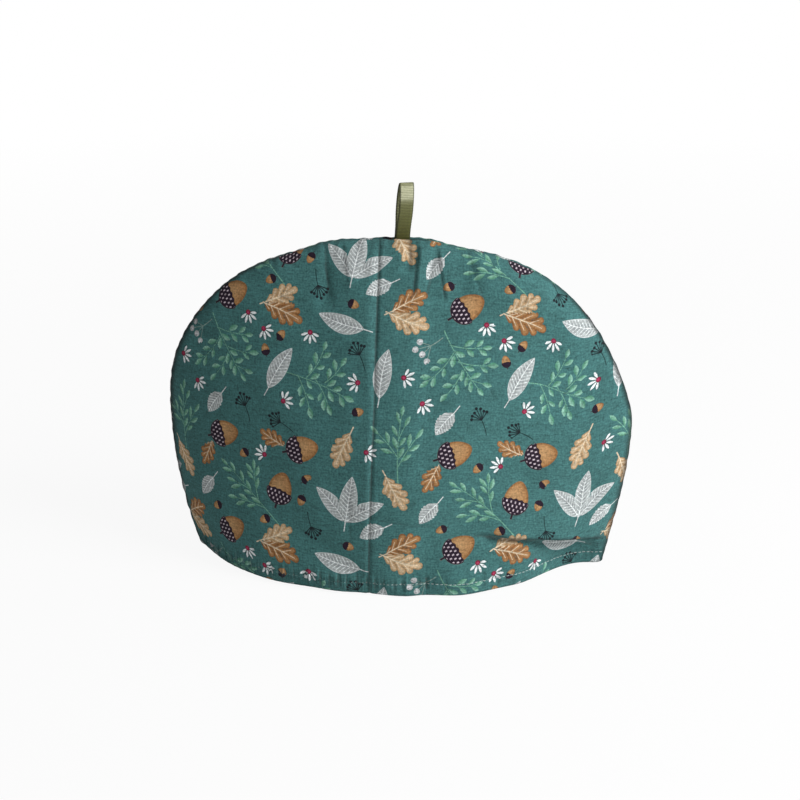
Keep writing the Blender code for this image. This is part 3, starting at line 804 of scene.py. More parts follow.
def stem_coordinates(flat):
    """The same for the nearest stem: half widths beside it, distance along from its middle, half length."""
    start, end, thin = STEM_PLAN[:, 0:2], STEM_PLAN[:, 2:4], STEM_PLAN[:, 4]
    half = 0.5 * np.linalg.norm(end - start, axis=1)
    way = (end - start) / (2.0 * half[:, None])

    def gap_of(away):
        along = away[..., 0] * way[:, 0] + away[..., 1] * way[:, 1]
        beside = away[..., 1] * way[:, 0] - away[..., 0] * way[:, 1]
        return np.hypot(beside, along - np.clip(along, -half, half)) - thin

    middle = flat.mean(axis=1)
    chosen, shift = nearest_rows(middle, 0.5 * (start + end), gap_of)
    local = flat - middle[:, None] + shift[:, None]
    way, half, thin = way[chosen][:, None], half[chosen][:, None], thin[chosen][:, None]
    return np.stack([(local[..., 1] * way[..., 0] - local[..., 0] * way[..., 1]) / thin,
                     local[..., 0] * way[..., 0] + local[..., 1] * way[..., 1],
                     np.broadcast_to(half, local.shape[:2])], axis=-1)


print("a cell asks", len(PRINT_PLAN), "strips and", len(STEM_PLAN), "stem lines which is nearest")

# %% [markdown]
# ## Closing and sewing a panel
#
# At the seam a maker turns the cloth in, and at the hem turns it up. Blender's Solidify modifier would close
# the form with square edges. Here rows of points carry the cloth round both edges instead, and the flat cut
# runs on over them, so the print does too. A few cells at the two lower corners join the bands.
#
# The finished mesh stores what the materials ask for: the flat places as a UV map, the motif and stem of
# each corner, and the shade of each point. A second map, OFBake, lays every cell somewhere of its own, so
# that the colours can be painted onto one square.

# %% The bands that close a panel
TURN_STEP = 0.7 * MM        # length of cloth from row to row of the turned-in edge


class Cloth:
    """The points of a panel, each with its place on the flat cut, as rows are added."""

    def __init__(self, points, flat):
        self.points, self.flat = points, flat

    def add(self, points, flat):
        """Adds a row and gives the numbers of its points."""
        first = len(self.points)
        self.points = np.concatenate((self.points, points))
        self.flat = np.concatenate((self.flat, flat))
        return np.arange(first, len(self.points))


def turn_in_the_seam(cloth, side, behind_seam):
    """Rows from the outer rim into the seam's plane, and on to the inner rim, with the flat place of that."""
    rim, rim_flat = cloth.points[SEAM_ROW], cloth.flat[SEAM_ROW]
    inward, out_on_flat = -square_to(GRID[SEAM_ROW]), -side * square_to(rim_flat)
    inward[[0, -1], 1] = 0.0
    opening = seam_opening(GRID[SEAM_ROW, 0])
    rows = [SEAM_ROW]
    for share, inset in TURN_IN:
        row = rim.copy()
        row[:, [0, 2]] += inward * inset * MM
        row[:, 1] = side * (opening + share * (side * rim[:, 1] - opening))
        rows.append(cloth.add(row, rim_flat + out_on_flat * TURN_STEP * len(rows)))
    return rows + [behind_seam], rim_flat + out_on_flat * TURN_STEP * len(rows)


def round_the_hem(cloth, seam_rows, inner, behind_hem):
    """Rows that round under the wall, from its outer to its inner lower edge."""
    turned = seam_rows[1:-1]
    over = np.concatenate(([row[0] for row in turned[::-1]], HEM_ROW, [row[-1] for row in turned]))
    under, facing = (np.pad(row, len(turned), mode="edge") for row in (behind_hem, HEM_ROW))
    edge, edge_flat = cloth.points[over], cloth.flat[over]
    rows = [over]
    for band in range(1, HEM_BANDS + 1):
        share = band / (HEM_BANDS + 1)
        row = edge + (inner[facing] - edge) * (1.0 - math.cos(math.pi * share)) / 2.0
        row[:, 2] = HEM_FALL * (1.0 - math.sin(math.pi * share))
        rows.append(cloth.add(row, edge_flat - (0.0, (WALL + HEM_FALL) * share)))
    return rows + [under]


print("rows that turn in the seam:", len(TURN_IN), "and that round the hem:", HEM_BANDS)

# %% Sew a panel together
INNER_SCALE = 0.39          # the inside is plain, so it takes less room on the map for painting
MAP_MARGIN = 0.01


def bake_places(corners, is_inner):
    """Places on a square map: the outer cloth fills its width, and the inner cloth lies small above it."""
    low, high = corners[~is_inner].min(axis=(0, 1)), corners[~is_inner].max(axis=(0, 1))
    places = (corners - low) / (high[0] - low[0]) * (1.0 - 2.0 * MAP_MARGIN) + MAP_MARGIN
    top = places[~is_inner][..., 1].max() + MAP_MARGIN
    inner = (corners - low) / (high[0] - low[0]) * INNER_SCALE + (MAP_MARGIN, top)
    return np.where(is_inner[:, None, None], inner, places)


def add_object(name, data):
    """A new object in the scene, which holds a mesh, a light or a camera."""
    thing = bpy.data.objects.new(name, data)
    bpy.context.scene.collection.objects.link(thing)
    return thing


def panel_mesh(name, side, outer, inner, flat, print_shift):
    """One closed mesh: outer face, inner face, the band at the seam and the rounded hem."""
    used, inner_cells = np.unique(INNER_CELLS, return_inverse=True)
    inner_cells = inner_cells.reshape(-1, 4)[:, ::-1] + len(outer)
    number = np.zeros(len(outer), int)
    number[used] = np.arange(len(used)) + len(outer)
    behind_seam, behind_hem = (number[row[np.arange(len(row)) // 2 * 2]] for row in (SEAM_ROW, HEM_ROW))
    cloth = Cloth(np.concatenate((outer, inner[used])), np.concatenate((flat, flat[used])))
    seam_rows, end_of_turn = turn_in_the_seam(cloth, side, behind_seam)
    hem_rows = round_the_hem(cloth, seam_rows, inner, behind_hem)

    # Every corner of a cell gets its place on the flat cut. The bands run on past the cut's own edge.
    parts = [GRID_CELLS, inner_cells, cells(np.array(seam_rows))[:, ::-1], cells(np.array(hem_rows))]
    quads = np.concatenate(parts)
    part = np.repeat(range(len(parts)), [len(rows) for rows in parts])
    is_inner, is_band = part == 1, part >= 2
    run_on = cloth.flat.copy()
    run_on[behind_seam[::2]] = end_of_turn[::2]
    run_on[behind_hem[::2]] = flat[HEM_ROW[::2]] - (0.0, WALL + HEM_FALL)
    corners = np.where(is_band[:, None, None], run_on[quads], cloth.flat[quads])
    sheet = bake_places(corners, is_inner)
    turned_up = is_inner & (cloth.points[quads, 2].max(axis=1) < TURNED_HEM)
    corners[turned_up, :, 1] = -(cloth.points[quads[turned_up], 2] + WALL)
    ends = [[int(row[0]) for row in hem_rows], [int(row[-1]) for row in hem_rows[::-1]]]
    if side > 0:
        quads, corners, sheet = quads[:, ::-1], corners[:, ::-1], sheet[:, ::-1]
        ends = [end[::-1] for end in ends]

    # Where the fine cells meet the coarse ones, every second cell runs to a point, so it loses a corner.
    kept = quads != np.roll(quads, 1, axis=1)
    faces = [[p for p, k in zip(*pair) if k] for pair in zip(quads.tolist(), kept.tolist())]
    mesh = bpy.data.meshes.new(name)
    mesh.from_pydata(cloth.points.tolist(), [], faces + ends)

    def at_corners(values):
        """Values of the kept corners in the mesh's own order, with zeros for the two end faces."""
        spread = np.zeros((len(mesh.loops), values.shape[-1]), np.float32)
        spread[:kept.sum()] = values[kept]
        return spread.ravel()

    for title, values in (("Cut", corners), ("OFBake", sheet)):
        mesh.uv_layers.new(name=title).data.foreach_set("uv", at_corners(values))
    printed = corners / MM + np.array(print_shift)
    for title, values in (("Motif", motif_coordinates(printed)), ("Stem", stem_coordinates(printed))):
        mesh.attributes.new(title, "FLOAT_VECTOR", "CORNER").data.foreach_set("vector", at_corners(values))
    shaded = np.zeros(len(cloth.points), np.float32)
    wrinkles = FRONT_WRINKLES if side < 0 else BACK_WRINKLES
    shaded[:len(outer)] = shaded_share(side, *GRID.T, SEAM_DISTANCE, SEAM_PLACE, wrinkles)
    for row in seam_rows[1:-1]:
        shaded[row] = shaded[SEAM_ROW]
    mesh.attributes.new("Shaded", "FLOAT", "POINT").data.foreach_set("value", shaded)
    plain = np.concatenate((is_inner & ~turned_up, [False, False]))
    mesh.polygons.foreach_set("material_index", plain.astype(np.int32))
    mesh.shade_smooth()
    print(name, "has", len(mesh.polygons), "faces and", len(mesh.edges), "edges")
    return add_object(name, mesh)


FRONT_PRINT, BACK_PRINT = (20.0, 35.0), (95.0, 120.0)      # where on the printed cloth each was cut (mm)
front = panel_mesh("front_cloth", -1.0, front_outer, front_inner, front_flat, FRONT_PRINT)
back = panel_mesh("back_cloth", 1.0, back_outer, back_inner, back_flat, BACK_PRINT)

# %% [markdown]
# ## Drawing with numbers
#
# Each finish below is drawn by nodes. A motif is a few sums: how far is this spot from that outline? Wiring
# such sums by hand is slow to write and hard to read, so here is one small helper. It stands for a number
# on a wire, and arithmetic on it adds the Math nodes.

# %% A number on a wire
INK_EDGE = 0.30             # softness of a printed edge, in millimetres


class Wire:
    """A number that nodes work out for each spot. Sums written with it become Math nodes."""

    def __init__(self, tree, socket):
        self.tree, self.socket = tree, socket

    def __add__(self, other):
        return sum_node("ADD", self, other)

    def __sub__(self, other):
        return sum_node("SUBTRACT", self, other)

    def __rsub__(self, other):
        return sum_node("SUBTRACT", other, self)

    def __mul__(self, other):
        return sum_node("MULTIPLY", self, other)

    def __truediv__(self, other):
        return sum_node("DIVIDE", self, other)

    def __pow__(self, other):
        return sum_node("POWER", self, other)

    def __neg__(self):
        return sum_node("MULTIPLY", self, -1.0)

    __radd__, __rmul__ = __add__, __mul__


def feed(tree, socket, value):
    """Feeds a socket with a Wire, another socket, a plain number or a colour (r, g, b)."""
    if isinstance(value, Wire):
        tree.links.new(value.socket, socket)
    elif isinstance(value, bpy.types.NodeSocket):
        tree.links.new(value, socket)
    elif isinstance(value, tuple):
        socket.default_value = (*value, 1.0)
    else:
        socket.default_value = value


def sum_node(operation, *values, clamp=False):
    """One Math node; each value is a Wire or a plain number."""
    tree = next(v.tree for v in values if isinstance(v, Wire))
    node = tree.nodes.new("ShaderNodeMath")
    node.operation, node.use_clamp = operation, clamp
    for socket, value in zip(node.inputs, values):
        feed(tree, socket, value)
    return Wire(tree, node.outputs[0])


def size_of(value):
    return sum_node("ABSOLUTE", value)


def part_left(value):
    """What is left of a number after its whole part: a saw that repeats at every whole number."""
    return sum_node("FRACT", value)


def held_0_1(value):
    return sum_node("ADD", value, 0.0, clamp=True)


def length_of(a, b):
    return sum_node("SQRT", a * a + b * b)


def lens(share):
    """An arch over 0 to 1 that is 1 in the middle, as half the outline of a pointed leaf."""
    return share * (1.0 - share) * 4.0


def ink(outside, edge=INK_EDGE):
    """Mask that is 1 where a distance is below zero, with a soft printed edge."""
    return sum_node("MULTIPLY_ADD", outside, -1.0 / edge, 0.5, clamp=True)


def either(*values):
    """Greatest of some numbers: the overlap of outlines, or all that several masks cover."""
    return reduce(lambda a, b: sum_node("MAXIMUM", a, b), values)


def both(*values):
    """Least of some numbers: outlines joined into one."""
    return reduce(lambda a, b: sum_node("MINIMUM", a, b), values)


def blend(tree, kind, share, under, over):
    """Colour of one Mix node. Colours are sockets or (r, g, b)."""
    node = tree.nodes.new("ShaderNodeMix")
    node.data_type, node.blend_type = "RGBA", kind
    for socket, value in zip((node.inputs["Factor"], node.inputs[6], node.inputs[7]), (share, under, over)):
        feed(tree, socket, value)
    return node.outputs[2]


def lay(mask, under, over):
    """Colour with another laid over it where a mask is 1."""
    return blend(mask.tree, "MIX", mask, under, over)


def times(tree, colour, shade):
    """A colour darkened or lightened by a number."""
    return blend(tree, "MULTIPLY", 1.0, colour, shade)


def stroke(x, y, start, end, thin, thick):
    """How far a spot is outside a straight stroke whose half width goes from thin to thick."""
    way = end[0] - start[0], end[1] - start[1]
    square = way[0] ** 2 + way[1] ** 2
    x, y = x - start[0], y - start[1]
    share = held_0_1(x * (way[0] / square) + y * (way[1] / square))
    return length_of(x - share * way[0], y - share * way[1]) - (share * (thick - thin) + thin)


def new_group(name, takes, gives):
    """Node group with named sockets: its tree, its inputs as Wires or sockets, and its output node."""
    tree = bpy.data.node_groups.new(name, "ShaderNodeTree")
    for title, kind, value in takes:
        socket = tree.interface.new_socket(title, in_out="INPUT", socket_type="NodeSocket" + kind)
        if value is not None:
            socket.default_value = value
    for title, kind in gives:
        tree.interface.new_socket(title, in_out="OUTPUT", socket_type="NodeSocket" + kind)
    start, end = tree.nodes.new("NodeGroupInput"), tree.nodes.new("NodeGroupOutput")
    inputs = {title: Wire(tree, start.outputs[title]) for title, _kind, _value in takes}
    return tree, inputs, end


def feed_all(tree, node, **values):
    """Feeds a node's inputs by their titles, which have underscores here instead of spaces."""
    for title, value in values.items():
        feed(tree, node.inputs[title.replace("_", " ")], value)


def finish_group(tree, end, **values):
    feed_all(tree, end, **values)
    print("group", tree.name, "has", len(tree.nodes), "nodes")
    return tree


def split(vector):
    """The three numbers of a vector."""
    node = vector.tree.nodes.new("ShaderNodeSeparateXYZ")
    feed(vector.tree, node.inputs[0], vector)
    return [Wire(vector.tree, node.outputs[i]) for i in range(3)]


def motif_group(name):
    """Start of a motif's group: tree, output node, the spot's place across and up the motif, and its tone."""
    tree, takes, end = new_group(name, [("Place", "Vector", None), ("Tone", "Float", 0.5)],
                                 [("Mask", "Float"), ("Colour", "Color")])
    x, y, _ = split(takes["Place"])
    return tree, end, x, y, takes["Tone"]


# %% [markdown]
# ## The motifs
#
# Each sort of motif is a node group that takes a spot's place in the motif, in millimetres, and gives a mask
# and a colour. A leaf is a lens whose half width is an arch over its length. Veins are a saw-tooth along the
# leaf, slanted by the distance from the midrib. Radiating things, such as petals, fold the plane by angle,
# so that one petal is drawn and all show. An image of the print would be quicker, but it would blur close
# up, and it would be somebody's drawing. The numbers in the sums are millimetres, or shares of a length.

# %% Leaves with veins
LEAF_HEART, LEAF_FLESH = (0.32, 0.355, 0.36), (0.44, 0.48, 0.48)
LEAF_RIM, LEAF_VEIN = (0.70, 0.74, 0.74), (0.78, 0.82, 0.82)


def leaf_group(name, length, width, tooth, pitch):
    """A pointed leaf with fine slanting veins, on a short stem. tooth notches its edge at every vein."""
    tree, end, x, y, tone = motif_group(name)
    share = held_0_1(y / length)
    bent = x - lens(share) * (tone - 0.5) * 4.2
    off = size_of(bent)
    row = part_left((y - off * 0.80) / pitch)
    half = lens(share) ** 0.85 * (1.16 - share * 0.34) * width - row * lens(share) * tooth
    stem = either(off - 0.36, y - 3.0, -7.0 - y)
    blade = either(off - half, -y, y - length)
    vein = ink(size_of(row - 0.5) * pitch - 0.34, 0.4) * ink(off - half * 0.90, 1.0)
    rib = ink(either(off - 0.38, y - length * 0.95))
    colour = lay(ink(off - half * 0.45, 3.0), LEAF_FLESH, LEAF_HEART)
    colour = lay(either(vein * 0.9, rib), colour, LEAF_VEIN)
    colour = lay(ink(-0.45 - blade, 0.5) * 0.85, colour, LEAF_RIM)
    return finish_group(tree, end, Mask=either(ink(blade), ink(stem)), Colour=colour)


long_leaf = leaf_group("Motif long leaf", 37.0, 7.0, 0.0, 3.1)
small_leaf = leaf_group("Motif small leaf", 21.0, 6.6, 1.1, 2.5)

# %% Oak leaves
CREAM, CREAM_RIM = (0.62, 0.46, 0.29), (0.46, 0.26, 0.11)
RUSSET, RUSSET_RIM = (0.42, 0.22, 0.09), (0.24, 0.09, 0.025)
OAK_VEIN = (0.80, 0.68, 0.50)
OAK_LOBES = [
    # where the lobe's vein leaves the midrib, then the lobe's middle (x, y) and half width, in millimetres
    (0.5, 2.7, 4.6, 1.6), (4.6, 5.2, 9.8, 2.3), (9.6, 5.9, 16.0, 2.6), (15.0, 4.3, 21.4, 2.2),
]


def oak_group():
    """A leaf of rounded lobes, which stand a little higher on one side than on the other."""
    tree, end, x, y, tone = motif_group("Motif oak leaf")
    bent = x - lens(held_0_1(y / 27.0)) * (tone - 0.45) * 3.0
    off, high = size_of(bent), y + sum_node("GREATER_THAN", bent, 0.0) * 1.5
    blade = stroke(off, y, (0.0, 2.0), (0.0, 24.6), 1.5, 2.7)
    veins = stroke(off, y, (0.0, -6.0), (0.0, 24.0), 0.48, 0.26)
    for root, lobe_x, lobe_y, half in OAK_LOBES:
        blade = both(blade, stroke(off, high, (0.0, root), (lobe_x, lobe_y), 0.5 * half, half))
        veins = both(veins, stroke(off, high, (0.0, root), (0.9 * lobe_x, 0.94 * lobe_y), 0.26, 0.16))
    pale = sum_node("GREATER_THAN", tone, 0.5)
    fill = lay(pale, RUSSET, CREAM)
    rim = lay(pale, RUSSET_RIM, CREAM_RIM)
    colour = lay(ink(-0.8 - blade, 1.1) * 0.9, fill, rim)
    colour = lay(ink(veins) * 0.9, colour, OAK_VEIN)
    return finish_group(tree, end, Mask=either(ink(blade), ink(veins)), Colour=colour)


oak_leaf = oak_group()

# %% Acorns
NUT, NUT_GLOW, NUT_RIM = (0.40, 0.205, 0.080), (0.50, 0.295, 0.135), (0.27, 0.115, 0.035)
CAP, CAP_DASH = (0.020, 0.009, 0.022), (0.66, 0.56, 0.62)
DASH_PITCH, DASH_ROWS = 2.7, 2.35


def acorn_group():
    """A nut below a dark cap with pale dashes. Small ones, with a tone over a half, have no dashes."""
    tree, end, x, y, tone = motif_group("Motif acorn")
    off = size_of(x)
    narrow = held_0_1(y / 12.0)
    nut = either((length_of(off / (7.5 - narrow * narrow * 1.6), (y - 0.6) / 11.2) - 1.0) * 7.5, -2.0 - y)
    rim = 1.0 - off * off * 0.020 + sum_node("COSINE", x * 1.75) * 0.35
    cap = either((length_of(x / 8.5, (y + 0.4) / 8.4) - 1.0) * 8.4, y - rim)
    stalk = either(off - 0.60, y + 6.0, -11.6 - y)
    row = y / DASH_ROWS
    stagger = part_left(sum_node("FLOOR", row) * 0.5)
    dash = either(size_of(part_left(x / DASH_PITCH + stagger) - 0.5) * DASH_PITCH - 0.42,
                  size_of(part_left(row) - 0.5) * DASH_ROWS - 0.66)
    large = sum_node("LESS_THAN", tone, 0.5)
    dashes = ink(either(dash, cap + 0.7)) * large
    glow = ink(length_of(x + 1.6, y - 3.0) - 4.5, 7.0)
    colour = lay(ink(-0.9 - nut, 1.3) * 0.8, lay(glow, NUT, NUT_GLOW), NUT_RIM)
    dark = either(ink(cap), ink(stalk))
    colour = lay(dashes, lay(dark, colour, CAP), CAP_DASH)
    return finish_group(tree, end, Mask=either(ink(nut), dark), Colour=colour)


acorn = acorn_group()

# %% Leaflets of the sprigs
def leaflet_group(name, length, width, dark, light):
    """A small leaf that is widest beyond its middle, with a lit and a shaded side."""
    tree, end, x, y, tone = motif_group(name)
    share = held_0_1(y / length)
    bent = x - lens(share) * (tone - 0.5) * 0.9
    half = (lens(share) ** 1.15) * (share * 0.5 + 0.78) * width
    blade = either(size_of(bent) - half, -y, y - length)
    lit = held_0_1(bent / width * 0.9 + share * 0.5 + 0.35)
    colour = lay(lit * (tone * 0.4 + 0.6), dark, light)
    colour = lay(ink(either(size_of(bent) - 0.12, y - length * 0.8), 0.35) * 0.6, colour, dark)
    return finish_group(tree, end, Mask=ink(blade), Colour=colour)


leaflet = leaflet_group("Motif leaflet", 8.0, 1.75, (0.085, 0.27, 0.175), (0.30, 0.57, 0.45))
slim_leaflet = leaflet_group("Motif slim leaflet", 9.4, 1.5, (0.095, 0.28, 0.18), (0.28, 0.54, 0.42))

# %% Things that radiate
SEED_BLACK, SEED_STEM = (0.008, 0.013, 0.018), (0.012, 0.035, 0.034)
PETAL, NEEDLE = (0.86, 0.90, 0.91), (0.012, 0.042, 0.042)
EYE_HEART, EYE_RIM = (0.44, 0.05, 0.12), (0.25, 0.012, 0.045)
BERRY, BERRY_SHINE, BERRY_TIP = (0.50, 0.52, 0.53), (0.80, 0.81, 0.81), (0.12, 0.13, 0.13)
BERRY_STEM = (0.24, 0.34, 0.30)


def radiating(x, y, step, reach):
    """Folds the plane by angle: number of the ray, distance out, and distance beside the ray."""
    out = length_of(x, y)
    turn = sum_node("ARCTAN2", x, y) / step
    number = sum_node("ROUND", both(either(turn, -float(reach)), float(reach)))
    return number, out, out * sum_node("SINE", (turn - number) * step)


def umbel_group():
    """A dark seed head: thin rays with a bead at each end."""
    tree, end, x, y, _tone = motif_group("Motif seed head")
    number, out, beside = radiating(x, y, 0.33, 3)
    long = 9.6 - number * number * 0.24 - part_left(number * 0.37 + 0.2) * 2.4
    ray = either(size_of(beside) - 0.32, out - long, -0.2 - y)
    bead = length_of(out - long, beside) - 1.05
    stem = either(size_of(x + y * y * 0.012) - 0.30, y, -11.0 - y)
    return finish_group(tree, end, Mask=either(ink(ray), ink(bead), ink(stem)),
                        Colour=lay(ink(stem), SEED_BLACK, SEED_STEM))


def daisy_group():
    """White petals on one side of a crimson eye, with dark needles between them."""
    tree, end, x, y, _tone = motif_group("Motif daisy")
    number, out, beside = radiating(x, y, 0.62, 2)
    long = 8.0 - number * number * 0.35 + part_left(number * 0.37 + 0.2) * 0.8
    share = held_0_1((out - 1.7) / (long - 1.7))
    petal = size_of(beside) - (lens(share) ** 0.7) * (share * 0.5 + 0.75) * 0.95
    _, _, between_petals = radiating(x + y * 0.33, y - x * 0.30, 0.62, 2)
    needle = either(size_of(between_petals) - 0.20, out - 6.6, 1.0 - out, -1.0 - y)
    eye = out - 1.9
    petals = ink(either(petal, 1.9 - out, out - long))
    colour = lay(ink(eye), lay(petals, NEEDLE, PETAL), lay(ink(out - 0.9, 0.9), EYE_RIM, EYE_HEART))
    return finish_group(tree, end, Mask=either(petals, ink(needle), ink(eye)), Colour=colour)


def berries_group():
    """Four pale berries on forked stems."""
    tree, end, x, y, _tone = motif_group("Motif berries")
    out = length_of(x, y)
    turn = sum_node("ARCTAN2", x, y) / 0.56
    number = both(either(sum_node("FLOOR", turn), -2.0), 1.0) + 0.5
    beside = out * sum_node("SINE", (turn - number) * 0.56)
    long = 11.4 - part_left(number * 0.5 + 0.75) * 5.6
    berry = length_of(out - long, beside) - 2.25
    shine = ink(length_of(out - long - 0.5, beside - 0.4) - 0.5, 2.6)
    ray = either(size_of(beside) - 0.22, out - long, -0.2 - y)
    stem = either(size_of(x - y * y * 0.010) - 0.30, y, -10.0 - y)
    tip = ink(length_of(out - long - 1.2, beside + 0.5) - 0.42)
    colour = lay(tip, lay(ink(berry), BERRY_STEM, lay(shine, BERRY, BERRY_SHINE)), BERRY_TIP)
    return finish_group(tree, end, Mask=either(ink(berry), ink(ray), ink(stem)), Colour=colour)


umbel, daisy, berries = umbel_group(), daisy_group(), berries_group()

# %% [markdown]
# ## Weave
#
# Under the print lies plain woven cotton: yarns that pass over and under each other, a third of a
# millimetre apart, and none of them quite even. Thick stretches of yarn, called slubs, show as short level
# and upright streaks. The same group serves the printed side, the plain inside, the ribbon and the thread,
# each with its own yarn. It gives a shade for the colour and a height for a Bump node.

# %% The weave group
SLUBS = [
    # length across and along (mm), strength beside the first
    (7.0, 1.1, 1.0), (1.1, 7.0, 0.7), (22.0, 2.0, 0.35),
]
FLECKS = [(1.4, 1.4, 1.0), (2.9, 2.2, 0.45)]
FADED = [(15.0, 11.0, 1.0)]
SLUB_SHADE, FLECK_SHADE, FADED_SHADE, YARN_SHADE = 0.74, 1.15, 0.34, 0.14


def soft_noise(tree, place, scale, detail):
    """Blender's soft noise over a place, as a Wire that wavers round a half."""
    noise = tree.nodes.new("ShaderNodeTexNoise")
    feed_all(tree, noise, Vector=place, Scale=scale, Detail=detail)
    return Wire(tree, noise.outputs[0])


def weave_group():
    tree, takes, end = new_group(
        "Woven yarns",
        [("Cloth", "Vector", None), ("Yarn across", "Float", 0.36), ("Yarn along", "Float", 0.36),
         ("Slub", "Float", 1.0), ("Relief", "Float", 1.0)],
        [("Shade", "Float"), ("Height", "Float")])
    u, v, _ = split(takes["Cloth"])
    u, v = u / MM, v / MM
    a, b = u / takes["Yarn across"], v / takes["Yarn along"]
    warp = size_of(sum_node("SINE", a * math.pi))
    weft = size_of(sum_node("SINE", b * math.pi))
    over = part_left((sum_node("FLOOR", a) + sum_node("FLOOR", b)) * 0.5) * 2.0
    yarns = over * (warp * 0.6 + weft * 0.4) + (1.0 - over) * (weft * 0.6 + warp * 0.4)

    def uneven(rows):
        """Sum of soft noises from -0.5 to 0.5, each with patches of its own length across and along."""
        total = 0.0
        for across, along, strength in rows:
            place = tree.nodes.new("ShaderNodeCombineXYZ")
            feed_all(tree, place, X=u / across, Y=v / along)
            total = total + (soft_noise(tree, place.outputs[0], 1.0, 1.0) - 0.5) * strength
        return total * takes["Slub"]

    slubs, flecks, faded = uneven(SLUBS), uneven(FLECKS), uneven(FADED)
    shade = (1.0 + slubs * SLUB_SHADE + flecks * FLECK_SHADE + faded * FADED_SHADE
             + (yarns - 0.55) * YARN_SHADE)
    height = (yarns * 0.7 + slubs * 0.5) * takes["Relief"]
    return finish_group(tree, end, Shade=shade, Height=height)


weave = weave_group()

# %% [markdown]
# ## Wear and handling, with painted highlight and shade
#
# Cotton that has been handled is a little paler along its edges, and dirt gathers in its hollows. The same
# group paints light and shade from the shape: ridges and folds are made paler, as a painted highlight, and
# hollows darker, as painted shade. The printed and the plain cotton each take it in their own strength. It
# blends by Geometry's Pointiness, and breaks the blend up with a soft noise.

# %% The wear group, with painted highlight and shade
RAISED_FROM, RAISED_GAIN = 0.508, 10.0      # Pointiness is 0.5 where the cloth is flat
SUNK_FROM, SUNK_GAIN = 0.494, 22.0
# Pale colour laid on ridges and edges: partly rubbed wear, partly painted highlight. Dark colour laid in
# hollows: painted shade, with some dirt.
PALE_WEAR_AND_HIGHLIGHT, HOLLOW_SHADE_AND_DIRT = (0.42, 0.47, 0.45), (0.02, 0.045, 0.045)
DRY_ROUGHNESS, PATCHINESS = 0.84, 0.14


def wear_and_shade_group():
    tree, takes, end = new_group(
        "Handled edges with painted highlight and shade", [("Cloth", "Vector", None), ("Colour", "Color", None), ("Amount", "Float", 0.5)],
        [("Colour", "Color"), ("Rough", "Float")])
    pointed = Wire(tree, tree.nodes.new("ShaderNodeNewGeometry").outputs["Pointiness"])
    patch = soft_noise(tree, takes["Cloth"], 55.0, 3.0)
    # Ridges get a painted highlight along with some wear, and hollows get painted shade.
    raised = held_0_1((pointed - RAISED_FROM) * RAISED_GAIN) * (patch + 0.35)
    sunk = held_0_1((SUNK_FROM - pointed) * SUNK_GAIN)
    colour = lay(held_0_1(raised * takes["Amount"]), takes["Colour"], PALE_WEAR_AND_HIGHLIGHT)
    colour = lay(held_0_1(sunk * takes["Amount"]), colour, HOLLOW_SHADE_AND_DIRT)
    return finish_group(tree, end, Colour=colour, Rough=DRY_ROUGHNESS + (patch - 0.5) * PATCHINESS)


wear_and_shade = wear_and_shade_group()

# %% [markdown]
# ## Materials of the cloth
#
# The printed cotton puts the pieces together: the motifs by their number, over a teal ground, all shaded by
# the weave, because ink sinks in between the yarns. Last of all it is darkened by the stored shade, at the
# foot of the sharp folds and beside the seam. The inside is the same cloth without its print. The
# Principled shader's own sheen gives the soft bloom that cotton has at a low angle.

# %% Printed cotton
TEAL = (0.057, 0.174, 0.171)
STEM_GREEN = (0.18, 0.42, 0.30)
STEM_WIDTH, STEM_END = 0.28, 0.2        # mean half width of a printed stem, and how far its line runs on


def use(tree, group, **values):
    """Places a node group in a tree and feeds its inputs."""
    node = tree.nodes.new("ShaderNodeGroup")
    node.node_tree = group
    feed_all(tree, node, **values)
    return node


def stored(tree, name, output="Vector"):
    """What the mesh stores under a name."""
    node = tree.nodes.new("ShaderNodeAttribute")
    node.attribute_name = name
    return Wire(tree, node.outputs[output])


def new_material(name, **values):
    """New material, its tree and its shader, with the sockets that are the same all over."""
    material = bpy.data.materials.new(name)
    material.use_nodes = True
    tree = material.node_tree
    shader = tree.nodes["Principled BSDF"]
    feed_all(tree, shader, **values)
    return material, tree, shader


def cloth_material(name, roughness, sheen):
    """New material for a cloth, its tree and shader, and the place of each spot on the flat cut."""
    material, tree, shader = new_material(name, Roughness=roughness, Sheen_Weight=sheen, Sheen_Roughness=0.5,
                                          Specular_IOR_Level=0.25)
    cut = tree.nodes.new("ShaderNodeUVMap")
    cut.uv_map = "Cut"
    return material, tree, shader, cut.outputs[0]


def rough_cloth(tree, shader, yarns, strength, height):
    """Bump from the height of the yarns, in metres."""
    bump = tree.nodes.new("ShaderNodeBump")
    feed_all(tree, bump, Strength=strength, Distance=height, Height=yarns.outputs["Height"])
    feed(tree, shader.inputs["Normal"], bump.outputs[0])


